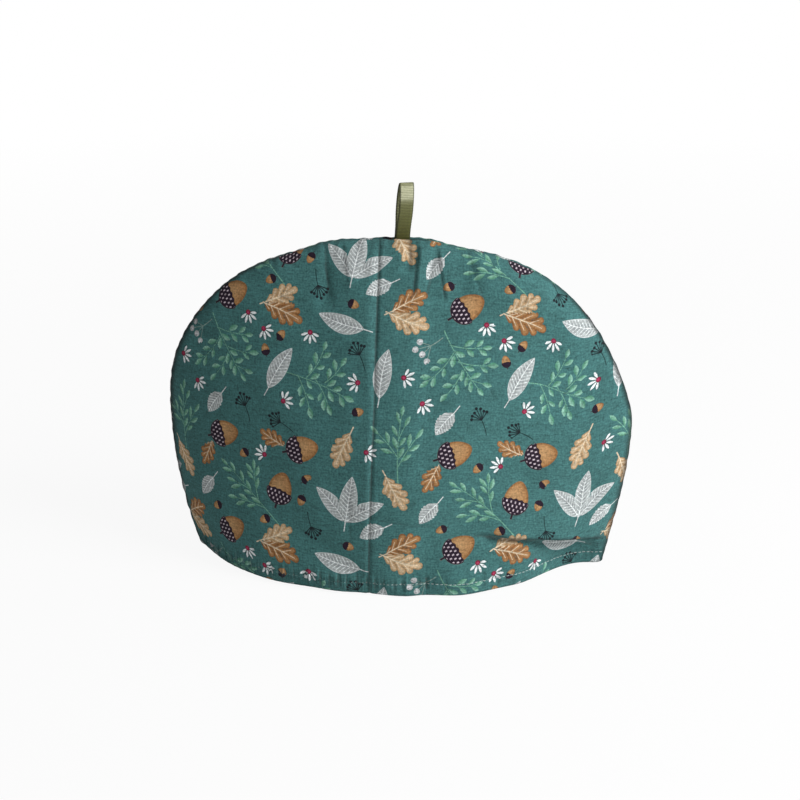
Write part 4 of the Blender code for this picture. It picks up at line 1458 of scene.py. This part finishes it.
def printed_cotton():
    material, tree, shader, cloth = cloth_material("Printed cotton", 0.85, 0.04)
    place = stored(tree, "Motif")
    _, _, code = split(place)
    kind, tone = sum_node("FLOOR", code), part_left(code) * 2.0
    beside, along, half_length = split(stored(tree, "Stem"))
    stem_gap = either((size_of(beside) - 1.0) * STEM_WIDTH, size_of(along) - half_length - STEM_END)
    colour = lay(ink(stem_gap), TEAL, STEM_GREEN)
    sorts = ((LEAF, long_leaf), (SMALL_LEAF, small_leaf), (OAK, oak_leaf), (ACORN, acorn), (LEAFLET, leaflet),
             (SLIM_LEAFLET, slim_leaflet), (UMBEL, umbel), (DAISY, daisy), (BERRIES, berries))
    for number, group in sorts:
        motif = use(tree, group, Place=place, Tone=tone)
        here = sum_node("COMPARE", kind, float(number), 0.25)
        colour = lay(here * Wire(tree, motif.outputs["Mask"]), colour, motif.outputs["Colour"])
    yarns = use(tree, weave, Cloth=cloth, Yarn_across=0.36, Yarn_along=0.40, Slub=1.0, Relief=1.0)
    woven = times(tree, colour, yarns.outputs["Shade"])
    # The wear group also paints a highlight on ridges and shade in hollows.
    worn_and_shaded = use(tree, wear_and_shade, Cloth=cloth, Colour=woven, Amount=0.55)
    dimmed = times(tree, worn_and_shaded.outputs["Colour"], 1.0 - stored(tree, "Shaded", "Fac"))
    feed_all(tree, shader, Base_Color=dimmed, Roughness=worn_and_shaded.outputs["Rough"])
    rough_cloth(tree, shader, yarns, 0.55, 0.00022)
    print("printed cotton has", len(tree.nodes), "nodes and", len(sorts), "sorts of motif")
    return material


cotton_print = printed_cotton()

# %% Plain cotton for the inside
PALE_TEAL = (0.115, 0.215, 0.20)


def plain_cotton():
    material, tree, shader, cloth = cloth_material("Plain cotton", 0.9, 0.1)
    yarns = use(tree, weave, Cloth=cloth, Yarn_across=0.42, Yarn_along=0.45, Slub=0.8, Relief=1.0)
    woven = times(tree, PALE_TEAL, yarns.outputs["Shade"])
    # The wear group also paints a highlight on ridges and shade in hollows.
    worn_and_shaded = use(tree, wear_and_shade, Cloth=cloth, Colour=woven, Amount=0.25)
    feed_all(tree, shader, Base_Color=worn_and_shaded.outputs["Colour"], Roughness=worn_and_shaded.outputs["Rough"])
    rough_cloth(tree, shader, yarns, 0.6, 0.00025)
    print("plain cotton has", len(tree.nodes), "nodes")
    return material


cotton_plain = plain_cotton()
for panel in (front, back):
    panel.data.materials.append(cotton_print)
    panel.data.materials.append(cotton_plain)

# %% [markdown]
# ## The row of stitches
#
# The hem is held by one row of machine stitches in a pale thread. Each stitch is a short length of thread
# that comes up through the cloth, lies on it and goes down again, and pulls a small dip at either end. A
# dashed line in the material would be flat. Here each stitch is a bent tube, made by one loop and joined
# into a single mesh for each panel. The same row shows on the inside of the hem.

# %% Stitch the hems
STITCH_LONG, STITCH_PITCH = 2.5 * MM, 3.25 * MM
STITCH_WANDER, STITCH_TILT = 0.12 * MM, 0.10 * MM      # how unevenly the stitches are set
THREAD_RADIUS, THREAD_PINCH = 0.23 * MM, 0.28   # the ends of a stitch are thinner by this share
STITCH_LIFT, STITCH_SUNK = 0.62 * MM, 0.30 * MM
GATHERED_SUNK = 0.50 * MM   # stitches sink this much deeper where the hem is gathered
STITCH_RINGS, STITCH_SIDES = 7, 7
SEAM_MARGIN = 3.5 * MM      # the row starts this far from the seam
HEM_STEPS = 34              # steps up from the hem among which the height of the stitches lies


def hem_line(points):
    """A line round the hem at the height of the stitches, with the way out of the cloth at each point."""
    columns = [*RINGS[:, :SIDE_STEPS + 1], *CORE.T[1:-1], *RINGS[::-1, ::-1][:, :SIDE_STEPS + 1]]
    line = []
    for column in columns:
        x, y, z = points[column[:HEM_STEPS]].T
        line.append([np.interp(STITCH_HEIGHT, z, x), np.interp(STITCH_HEIGHT, z, y)])
    return np.array(line), -square_to(np.array(line))


def stitch_tube(bm, middle, out, thick):
    """Adds one bent tube of thread, with its middle line, the way out of the cloth and its radius."""
    rings = []
    for centre, way, radius in zip(middle, out, thick):
        ring = []
        for corner in range(STITCH_SIDES):
            turn = 2.0 * math.pi * corner / STITCH_SIDES
            ring.append(bm.verts.new(centre + (*way * radius * math.cos(turn), radius * math.sin(turn))))
        rings.append(ring)
    for low, high in zip(rings, rings[1:]):
        for i in range(STITCH_SIDES):
            bm.faces.new((low[i - 1], low[i], high[i], high[i - 1]))
    bm.faces.new(rings[0][::-1])
    bm.faces.new(rings[-1])


def stitch_row(bm, points, facing, seed, gathered):
    """Adds one row of stitches that stands out of the cloth on the side that it faces."""
    line, out = hem_line(points)
    run = run_along(line)
    chance = np.random.default_rng(seed)
    share = np.linspace(0.0, 1.0, STITCH_RINGS)
    arch = np.sin(math.pi * share)
    thick = THREAD_RADIUS * (1.0 - THREAD_PINCH + THREAD_PINCH * arch)
    count = int((run[-1] - 2.0 * SEAM_MARGIN) / STITCH_PITCH)
    for number in range(count):
        start = SEAM_MARGIN + number * STITCH_PITCH + STITCH_WANDER * chance.standard_normal()
        tilt = STITCH_TILT * chance.standard_normal()
        at = start + share * STITCH_LONG
        place, way = (np.stack([np.interp(at, run, row) for row in rows.T], axis=1) for rows in (line, out))
        sunk = STITCH_SUNK + gathered * loose_share(place[:, 0])
        lift = (STITCH_LIFT * arch ** 0.55 - sunk) * facing
        middle = np.column_stack((place + way * lift[:, None], STITCH_HEIGHT + tilt * (share - 0.5)))
        stitch_tube(bm, middle, way, thick)
    return count


def hem_stitching(name, side, outer, inner, seed, gathered):
    bm = bmesh.new()
    count = stitch_row(bm, outer, -side, seed, gathered)
    stitch_row(bm, inner, side, seed, 0.0)
    bmesh.ops.recalc_face_normals(bm, faces=bm.faces)
    mesh = bpy.data.meshes.new(name)
    bm.to_mesh(mesh)
    bm.free()
    mesh.shade_smooth()
    print(name, "has", count, "stitches on each face of the hem")
    return add_object(name, mesh)


front_stitches = hem_stitching("front_hem_stitches", -1.0, front_outer, front_inner, 31, GATHERED_SUNK)
back_stitches = hem_stitching("back_hem_stitches", 1.0, back_outer, back_inner, 37, 0.0)

# %% Thread
THREAD_COLOUR = (0.50, 0.60, 0.58)


def thread_material():
    material, tree, shader = new_material("Pale thread", Roughness=0.55, Sheen_Weight=0.2)
    place = tree.nodes.new("ShaderNodeTexCoord").outputs["Object"]
    yarns = use(tree, weave, Cloth=place, Yarn_across=0.16, Yarn_along=0.3, Slub=0.6, Relief=1.0)
    feed_all(tree, shader, Base_Color=times(tree, THREAD_COLOUR, yarns.outputs["Shade"]))
    rough_cloth(tree, shader, yarns, 0.5, 0.0001)
    print("thread has", len(tree.nodes), "nodes")
    return material


thread = thread_material()
for stitches in (front_stitches, back_stitches):
    stitches.data.materials.append(thread)

# %% [markdown]
# ## The ribbon
#
# The loop at the top is grosgrain, a ribbon with thick ribs across it and a small tight edge. It comes up
# out of the seam, bellies out, closes to a pressed fold and goes back in. It is turned a little, and its
# back leg was sewn in further left, so both legs show. The ribs are in the mesh, because they catch the
# light one by one. A path gives the middle line, and a flat section with ribs is swept along it.

# %% The way of the ribbon
RIBBON_WIDTH = 10.2 * MM
LOOP_TOP, LOOP_BOTTOM = 287.0 * MM, 242.0 * MM
LOOP_LEAN = 3.0 * MM        # the fold stands this far to the right of the seat
LOOP_TURN = math.radians(17.0)      # the loop is turned this far, to face right
TURN_FULL = 0.5             # share of the loop's height by which that turn is reached
LEG_STAGGER = 1.2 * MM      # the back leg is sewn in this far to the left of the front leg
LOOP_BELLY = np.array([
    # share of the height, half the spread of the legs (mm)
    (0.0, 0.65), (0.12, 1.35), (0.3, 2.9), (0.5, 4.2), (0.66, 4.6), (0.8, 4.1), (0.91, 2.9), (0.975, 1.3),
    (1.0, 0.0),
])
FREE_POINTS, SEAT_POINTS = 1201, 120    # points of the path above the seam, and of each end in the seam


def loop_path(count):
    """Middle line of the ribbon in (y, z) from its front to its back end, its length, and how high it is."""
    foot = float(SEAM[:, 1].max()) + HEM_FALL
    height = LOOP_TOP - 0.5 * RIBBON_THICK - foot
    front = np.stack([-LOOP_BELLY[:, 1] * MM, foot + LOOP_BELLY[:, 0] * height], axis=1)
    free = smooth_line(np.concatenate((front, front[-2::-1] * (-1.0, 1.0))), FREE_POINTS)
    up = np.linspace(LOOP_BOTTOM, foot, SEAT_POINTS + 1)[:-1]
    seat = np.stack([np.full(SEAT_POINTS, free[0, 0]), up], axis=1)
    path = np.concatenate((seat, free, seat[::-1] * (-1.0, 1.0)))
    line = evenly(path, count)
    return line, run_along(path)[-1], np.clip((line[:, 1] - foot) / height, 0.0, 1.0)


print("ribbon:", round(loop_path(9)[1] / MM, 1), "mm long from end to end")

# %% Sweep the ribbon
RIB_PITCH, RIB_HEIGHT = 1.15 * MM, 0.15 * MM
RIBBON_CORE = 0.36 * MM     # half the thickness between the ribs
RIB_BULGE = 0.10 * MM       # the ribbon is wider by this at a rib
STEPS_PER_RIB, ACROSS_STEPS = 8, 16
EDGE_SHARE, EDGE_RIB = 0.16, 0.3    # share of the half width that is tight edge, and of a rib's height there
ROUNDED_FROM = 0.88         # share of the half width from which the edge is rounded
THIN_EDGE = 0.05            # square of the least share of thickness, at the very edge


def ribbon_section():
    """Places across the ribbon from -1 to 1, with shares of the thickness and of a rib's height there."""
    share = np.linspace(-1.0, 1.0, ACROSS_STEPS)
    off = np.abs(share)
    rounded = np.clip((off - ROUNDED_FROM) / (1.0 - ROUNDED_FROM), 0.0, 1.0)
    thickness = np.sqrt(np.clip(1.0 - rounded ** 2, THIN_EDGE, 1.0))
    return share, thickness, np.where(off > 1.0 - EDGE_SHARE, EDGE_RIB, 1.0)


def sweep_ribbon():
    """The loop, with its ribs, and its length from end to end."""
    ribs = round(loop_path(9)[1] / RIB_PITCH)
    count = ribs * STEPS_PER_RIB + 1
    path, length, rise = loop_path(count)
    normal = square_to(path)
    rib = np.sin(math.pi * ribs * np.linspace(0.0, 1.0, count)) ** 2
    share, thickness, rib_share = ribbon_section()
    half = 0.5 * RIBBON_WIDTH + RIB_BULGE * (rib - 0.5)
    middle = LOOP_X + LOOP_LEAN * rise + np.linspace(0.5, -0.5, count) * LEG_STAGGER
    turn = LOOP_TURN * ease(rise / TURN_FULL)
    sin, cos = np.sin(turn)[:, None], np.cos(turn)[:, None]
    rows = []
    for face in (1.0, -1.0):
        thick = (RIBBON_CORE + RIB_HEIGHT * rib[:, None] * rib_share) * thickness * face
        across = half[:, None] * share * face
        out = path[:, :1] + normal[:, :1] * thick
        rows.append(np.stack([middle[:, None] + across * cos - out * sin, across * sin + out * cos,
                              path[:, 1:] + normal[:, 1:] * thick], axis=-1))
    points = np.concatenate(rows, axis=1)
    number = np.arange(points.shape[0] * points.shape[1]).reshape(points.shape[:2])
    quads = cells(np.concatenate((number, number[:, :1]), axis=1))
    mesh = bpy.data.meshes.new("ribbon_loop")
    mesh.from_pydata(points.reshape(-1, 3).tolist(), [],
                     quads.tolist() + [number[0].tolist(), number[-1][::-1].tolist()])
    beside, run = np.concatenate((share, -share)) * 0.5 * RIBBON_WIDTH, np.linspace(0.0, length, count)
    places = np.stack(np.broadcast_arrays(beside[None], run[:, None]), axis=-1).reshape(-1, 2)
    corners = np.zeros((len(mesh.loops), 2), np.float32)
    corners[:quads.size] = places[quads.ravel()]
    mesh.uv_layers.new(name="Cut").data.foreach_set("uv", corners.ravel())
    mesh.shade_smooth()
    print("ribbon:", ribs, "ribs and", len(mesh.polygons), "faces")
    return add_object("ribbon_loop", mesh), length


ribbon, RIBBON_LENGTH = sweep_ribbon()

# %% Grosgrain
# Grooves between the ribs take darker colours than the ribs: painted shade.
SHADED_OLIVE_GROOVE, OLIVE_RIB, OLIVE_EDGE = (0.078, 0.082, 0.018), (0.142, 0.147, 0.036), (0.040, 0.043, 0.013)
# Colours of a painted highlight, laid on the upper front leg of the loop where the light would shine on it.
HIGHLIGHT_GROOVE, HIGHLIGHT_RIB = (0.320, 0.325, 0.190), (0.620, 0.625, 0.430)
EDGE_FROM = 4.3             # millimetres from the middle of the ribbon to its darker edge
PAINTED_HIGHLIGHT = [
    # millimetres back from the top of the loop's fold, share of the painted highlight colour
    (0.0, 0.30), (2.4, 0.45), (3.4, 0.95), (11.0, 1.0), (13.5, 0.30), (16.0, 0.12), (24.0, 0.05), (40.0, 0.0),
]


def painted_highlight_share(tree, v):
    """Share of the painted highlight along the ribbon's length, from a colour ramp with the rows of the
    table.
    """
    ramp = tree.nodes.new("ShaderNodeValToRGB")
    reach = PAINTED_HIGHLIGHT[-1][0]
    feed(tree, ramp.inputs[0], held_0_1((0.5 * RIBBON_LENGTH - v) / (reach * MM)))
    stops = ramp.color_ramp.elements
    while len(stops) < len(PAINTED_HIGHLIGHT):
        stops.new(0.5)
    for stop, (place, share) in zip(stops, PAINTED_HIGHLIGHT):
        stop.position, stop.color = place / reach, (share, share, share, 1.0)
    return Wire(tree, ramp.outputs[0])


def grosgrain():
    material, tree, shader, cloth = cloth_material("Olive grosgrain", 0.45, 0.2)
    u, v, _ = split(Wire(tree, cloth))
    yarns = use(tree, weave, Cloth=cloth, Yarn_across=0.22, Yarn_along=1.15, Slub=0.3, Relief=1.0)
    wave = sum_node("SINE", v * (math.pi / RIB_PITCH))
    rib = wave * wave
    edge = ink(EDGE_FROM - size_of(u / MM), 0.4)
    # Darker grooves between the ribs: painted shade.
    plain_colour = lay(rib, SHADED_OLIVE_GROOVE, OLIVE_RIB)
    highlight_colour = lay(rib, HIGHLIGHT_GROOVE, HIGHLIGHT_RIB)
    # A painted highlight near the top of the loop, laid over the plain olive.
    colour = lay(edge * 0.8, lay(painted_highlight_share(tree, v), plain_colour, highlight_colour), OLIVE_EDGE)
    feed_all(tree, shader, Base_Color=times(tree, colour, yarns.outputs["Shade"]))
    rough_cloth(tree, shader, yarns, 0.35, 0.00010)
    print("grosgrain has", len(tree.nodes), "nodes")
    return material


ribbon.data.materials.append(grosgrain())

# %% [markdown]
# ## Table, light and camera
#
# A small soft thing looks best on a plain pale table with one large light. The light stands to the right
# and a little in front, so that every fold shows a lit and a shaded side, and the pale surroundings fill
# the shade. They are lighter on the right and above, as in a room with its window there. To the camera the
# table is nearly plain white, so that only a faint shadow is left. The camera looks down a little, at the
# height of someone about to pour.

# %% Table
TABLE_RADIUS, TABLE_CORNERS = 30.0, 96
PAPER_GLOW = 0.92           # share of the table's look near the object that is plain white
PLAIN_FROM, PLAIN_TO = 0.35, 1.6    # metres from the object over which the rest turns to plain white too
PAPER = (0.86, 0.86, 0.86)
WHITE, BLACK = (1.0, 1.0, 1.0), (0.0, 0.0, 0.0)


def camera_ray(tree):
    """1 where the camera sees a thing itself, and 0 where only light from it is worked out."""
    return Wire(tree, tree.nodes.new("ShaderNodeLightPath").outputs["Is Camera Ray"])


def table_top():
    """A wide pale disc. To the camera it shows as nearly white paper, with the shadow only faint on it."""
    material, tree, shader = new_material("Pale table", Roughness=0.9, Specular_IOR_Level=0.0,
                                          Emission_Color=WHITE)
    x, y, _ = split(Wire(tree, tree.nodes.new("ShaderNodeTexCoord").outputs["Object"]))
    far = held_0_1((length_of(x, y) - PLAIN_FROM) / (PLAIN_TO - PLAIN_FROM))
    plain = (far * (1.0 - PAPER_GLOW) + PAPER_GLOW) * camera_ray(tree)
    feed_all(tree, shader, Emission_Strength=plain, Base_Color=lay(plain, PAPER, BLACK))
    turns = np.arange(TABLE_CORNERS) * 2.0 * math.pi / TABLE_CORNERS
    rim = [(TABLE_RADIUS * math.cos(turn), TABLE_RADIUS * math.sin(turn), 0.0) for turn in turns]
    mesh = bpy.data.meshes.new("table_top")
    mesh.from_pydata(rim, [], [list(range(TABLE_CORNERS))])
    mesh.materials.append(material)
    add_object("table_top", mesh)
    print("table top:", 2 * TABLE_RADIUS, "m across, so that its rim is out of view")


table_top()

# %% Light
KEY_AZIMUTH, KEY_HEIGHT = 72.0, 36.0    # degrees to the right of the front, and up
KEY_DISTANCE, KEY_SIZE, KEY_POWER = 1.6, 0.7, 24.6
SURROUNDINGS = 0.225        # brightness of the room
ROOM_SLOPE = 0.45           # the room is darker on the left and lighter on the right by this share
ROOM_RISE = 0.35            # and lighter above than below by this share
LOOK_AT = Vector((0.00175, 0.0, 0.1233))


def aim(thing, azimuth, elevation, distance):
    """Puts a thing this far from the middle of the object, in degrees from the front and up, facing it."""
    a, e = math.radians(azimuth), math.radians(elevation)
    toward = Vector((math.sin(a) * math.cos(e), -math.cos(a) * math.cos(e), math.sin(e)))
    thing.location = LOOK_AT + toward * distance
    thing.rotation_euler = toward.to_track_quat("Z", "Y").to_euler()


def light_the_scene():
    world = bpy.data.worlds.new("Pale surroundings")
    bpy.context.scene.world = world
    world.use_nodes = True
    tree = world.node_tree
    seen = camera_ray(tree)
    toward_x, _, toward_z = split(Wire(tree, tree.nodes.new("ShaderNodeTexCoord").outputs["Generated"]))
    room = (toward_x * ROOM_SLOPE + toward_z * ROOM_RISE + 1.0) * SURROUNDINGS
    feed_all(tree, tree.nodes["Background"], Color=WHITE, Strength=seen + (1.0 - seen) * room)
    key = bpy.data.lights.new("Key", "AREA")
    key.energy, key.size = KEY_POWER, KEY_SIZE
    aim(add_object("Key", key), KEY_AZIMUTH, KEY_HEIGHT, KEY_DISTANCE)
    print("one soft light of", KEY_SIZE, "m,", KEY_DISTANCE, "m away")


light_the_scene()

# %% Camera
CAMERA_AZIMUTH, CAMERA_HEIGHT, CAMERA_DISTANCE = 6.55, 22.0, 1.1
SENSOR = 36.0
METRES_PER_PIXEL, PICTURE_SIDE = 0.7375 * MM, 800


def place_camera():
    camera = bpy.data.cameras.new("Camera")
    camera.sensor_width = SENSOR
    camera.lens = SENSOR * CAMERA_DISTANCE / (PICTURE_SIDE * METRES_PER_PIXEL)
    holder = add_object("Camera", camera)
    aim(holder, CAMERA_AZIMUTH, CAMERA_HEIGHT, CAMERA_DISTANCE)
    bpy.context.scene.camera = holder
    bpy.context.scene.view_settings.view_transform = "Standard"
    print("lens:", round(camera.lens, 1), "mm")


place_camera()

# %% [markdown]
# ## Attach the pieces
#
# Each piece of cloth, the ribbon and the stitches is hung on the root of the frame, and the plain solids
# where they lie are hidden.


for piece in (front, back, ribbon, front_stitches, back_stitches):
    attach(piece, "root")
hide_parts("front_panel")
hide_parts("back_panel")
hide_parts("hanging_loop")
